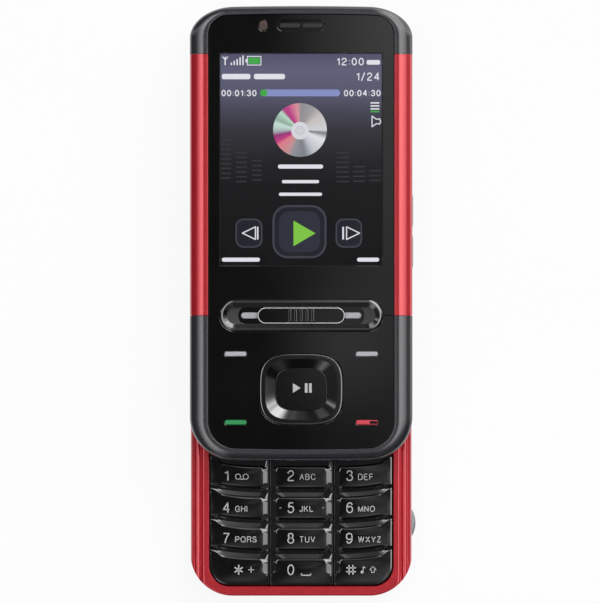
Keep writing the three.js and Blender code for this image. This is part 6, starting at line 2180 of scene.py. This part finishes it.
def add_floor():
    """A floor that rays from the camera and reflections see as nearly pure white."""
    mesh = bpy.data.meshes.new("floor")
    low, high = -FLOOR_HALF, FLOOR_HALF
    corners = [(low, low), (high, low), (high, high), (low, high)]
    points = level(corners, -FLOOR_GAP * MM)
    mesh.from_pydata(points, [], [(0, 1, 2, 3)])
    floor = linked("floor", mesh)
    f = Finish("floor_white", (240, 240, 240), 0.8, specular=0.2)
    f.put("Base Color", f.ramp(f.noise(60.0), [(0.2, (236, 236, 236)), (0.8, (243, 243, 243))]))
    rays = f.node("LightPath").outputs
    seen = f.math("MAXIMUM", rays["Is Camera Ray"], rays["Is Glossy Ray"])
    seen = f.math("MAXIMUM", seen, rays["Is Transmission Ray"])
    share = f.math("MULTIPLY", seen, FLOOR_WHITE_SHARE)
    f.surface(f.both(share, f.shader.outputs["BSDF"], f.fill(f.node("Emission"), "Emission", Strength=1.0)))
    mesh.materials.append(f.material)


# How bright each light is along one line of view directions, from -1 to 1 or from -NEAR to NEAR.
STRIPS = [
    (-1, 0.02), (-0.54, 0.03), (-0.44, 0.4), (-0.33, 1), (-0.19, 1), (-0.14, 0.25), (-0.1, 0.02), (0, 0),
    (0.04, 0.01), (0.1, 0.06), (0.14, 0.3), (0.19, 1), (0.34, 1), (0.46, 0.72), (0.58, 0.7), (0.62, 0.05),
    (0.7, 0.03), (1, 0.02),
]
STRIP_ENDS = [(-1, 0), (-0.5, 0.1), (-0.25, 1), (0.6, 1), (0.75, 0.6), (0.95, 0.05), (1, 0)]
CORNER_BAND = [
    (0.4, 0), (0.49, 0.01), (0.55, 0.08), (0.62, 0.09), (0.67, 0.13), (0.71, 0.5), (0.76, 0.8), (0.84, 1),
    (1, 1),
]
TOP_BAND = [
    (-0.9, 0), (-0.8, 0.12), (-0.6, 0), (0.1, 0), (0.15, 0.2), (0.21, 0.6), (0.25, 1.3), (0.31, 1.3),
    (0.36, 0.1), (0.42, 0.03), (0.96, 0.03), (0.985, 0.9), (1, 1),
]
CORNER_HEIGHTS = [
    (-0.2, 0), (-0.1, 1), (0.235, 1), (0.25, 0.05), (0.49, 0.05), (0.53, 1), (0.66, 1), (0.72, 0.3), (1, 0.3),
]
KEY_GLOW = [(0.02, 0), (0.06, 0.4), (0.13, 1), (0.2, 1), (0.32, 0.1), (0.5, 0)]
FACE_GLOW_X = [(-0.0625, 0), (-0.005, 0), (0.0155, 1), (0.03, 1), (0.0625, 0.5)]
FACE_GLOW_Y = [(-0.0625, 0), (-0.028, 0), (-0.018, 0.08), (-0.008, 0.25), (0.05, 1), (0.0625, 1)]
PATCH_X = [(-0.0625, 0), (-0.004, 0), (0.005, 1), (0.0095, 1), (0.017, 0.2), (0.03, 0)]
PATCH_Y = [(-0.0625, 0), (-0.024, 0), (-0.012, 1), (-0.006, 1), (0.004, 0)]
NEAR = 0.0625
STRIP_RUN = (-0.5, 1, 0)
BAND_RUN = (0.75, 0.66, 0)
KEY_GLOW_RUN = (0.8, -0.6, 0)
STRIP_LIGHT = 2.7
BAND_LIGHT = 2.6
TOP_LIGHT = 0.8
KEY_GLOW_LIGHT = 0.35
FACE_GLOW_LIGHT = 0.3
PATCH_LIGHT = 0.15
FILL_LIGHT = 0.015


def add_world():
    """A studio: two long strips beside the dark middle overhead, a band at the upper right and a
    weaker one at the top."""
    scene.world = bpy.data.worlds.new("studio")
    scene.world.use_nodes = True
    n = Nodes(scene.world.node_tree)
    background = n.tree.nodes["Background"].inputs
    n.feed((1, 1, 1, 1), background["Color"])
    view = n.node("TexCoord").outputs["Generated"]

    def along(direction, stops, reach=1.0):
        dot = n.node("VectorMath", operation="DOT_PRODUCT")
        n.feed(view, dot.inputs[0])
        n.feed(direction, dot.inputs[1])
        share = n.math("MULTIPLY_ADD", dot.outputs["Value"], 0.5 / reach, 0.5)
        greys = [((position / reach + 1) / 2, (value, value, value, 1)) for position, value in stops]
        return n.colours(share, greys)

    right, up, overhead = (1, 0, 0), (0, 1, 0), (0, 0, 1)
    total = FILL_LIGHT
    for light, *spreads in (
        (STRIP_LIGHT, along(right, STRIPS), along(STRIP_RUN, STRIP_ENDS)),
        (FACE_GLOW_LIGHT, along(right, FACE_GLOW_X, NEAR), along(up, FACE_GLOW_Y, NEAR)),
        (PATCH_LIGHT, along(right, PATCH_X, NEAR), along(up, PATCH_Y, NEAR)),
        (BAND_LIGHT, along(BAND_RUN, CORNER_BAND), along(overhead, CORNER_HEIGHTS)),
        (KEY_GLOW_LIGHT, along(KEY_GLOW_RUN, KEY_GLOW)),
        (TOP_LIGHT, along(up, TOP_BAND)),
    ):
        for spread in spreads:
            light = n.math("MULTIPLY", spread, light)
        total = n.math("ADD", light, total)
    n.feed(total, background["Strength"])


CAMERA_X = -0.26
CAMERA_Y = 14.78
CAMERA_HEIGHT = 1197.0
CAMERA_LENS = 326.0
CAMERA_SENSOR = 36.0
CAMERA_CLIP = (0.05, 20.0)


def add_camera():
    data = bpy.data.cameras.new("camera")
    data.lens = CAMERA_LENS
    data.sensor_width = CAMERA_SENSOR
    data.clip_start, data.clip_end = CAMERA_CLIP
    camera = linked("camera", data)
    camera.location = (CAMERA_X * MM, CAMERA_Y * MM, CAMERA_HEIGHT * MM)
    scene.camera = camera


for other in list(bpy.data.objects):
    if other.name in ("Cube", "Light", "Camera"):
        bpy.data.objects.remove(other)
scene.view_settings.view_transform = "Standard"
finish_nodes()
add_camera()
add_world()
add_floor()
add_rim()
add_fascia()
add_face_keys()
add_music_bezel()
add_music_lights()
add_music_key()
add_navi()
add_select_key()
add_earpiece()
add_sensor()
add_screen()
add_keys()
add_legends()
add_base_frame()
add_end_cap()
add_battery_cover()
add_cover_grip()
add_rear_shell()
add_camera_panel()
add_housing_screws()
add_connectors()
add_side_controls()
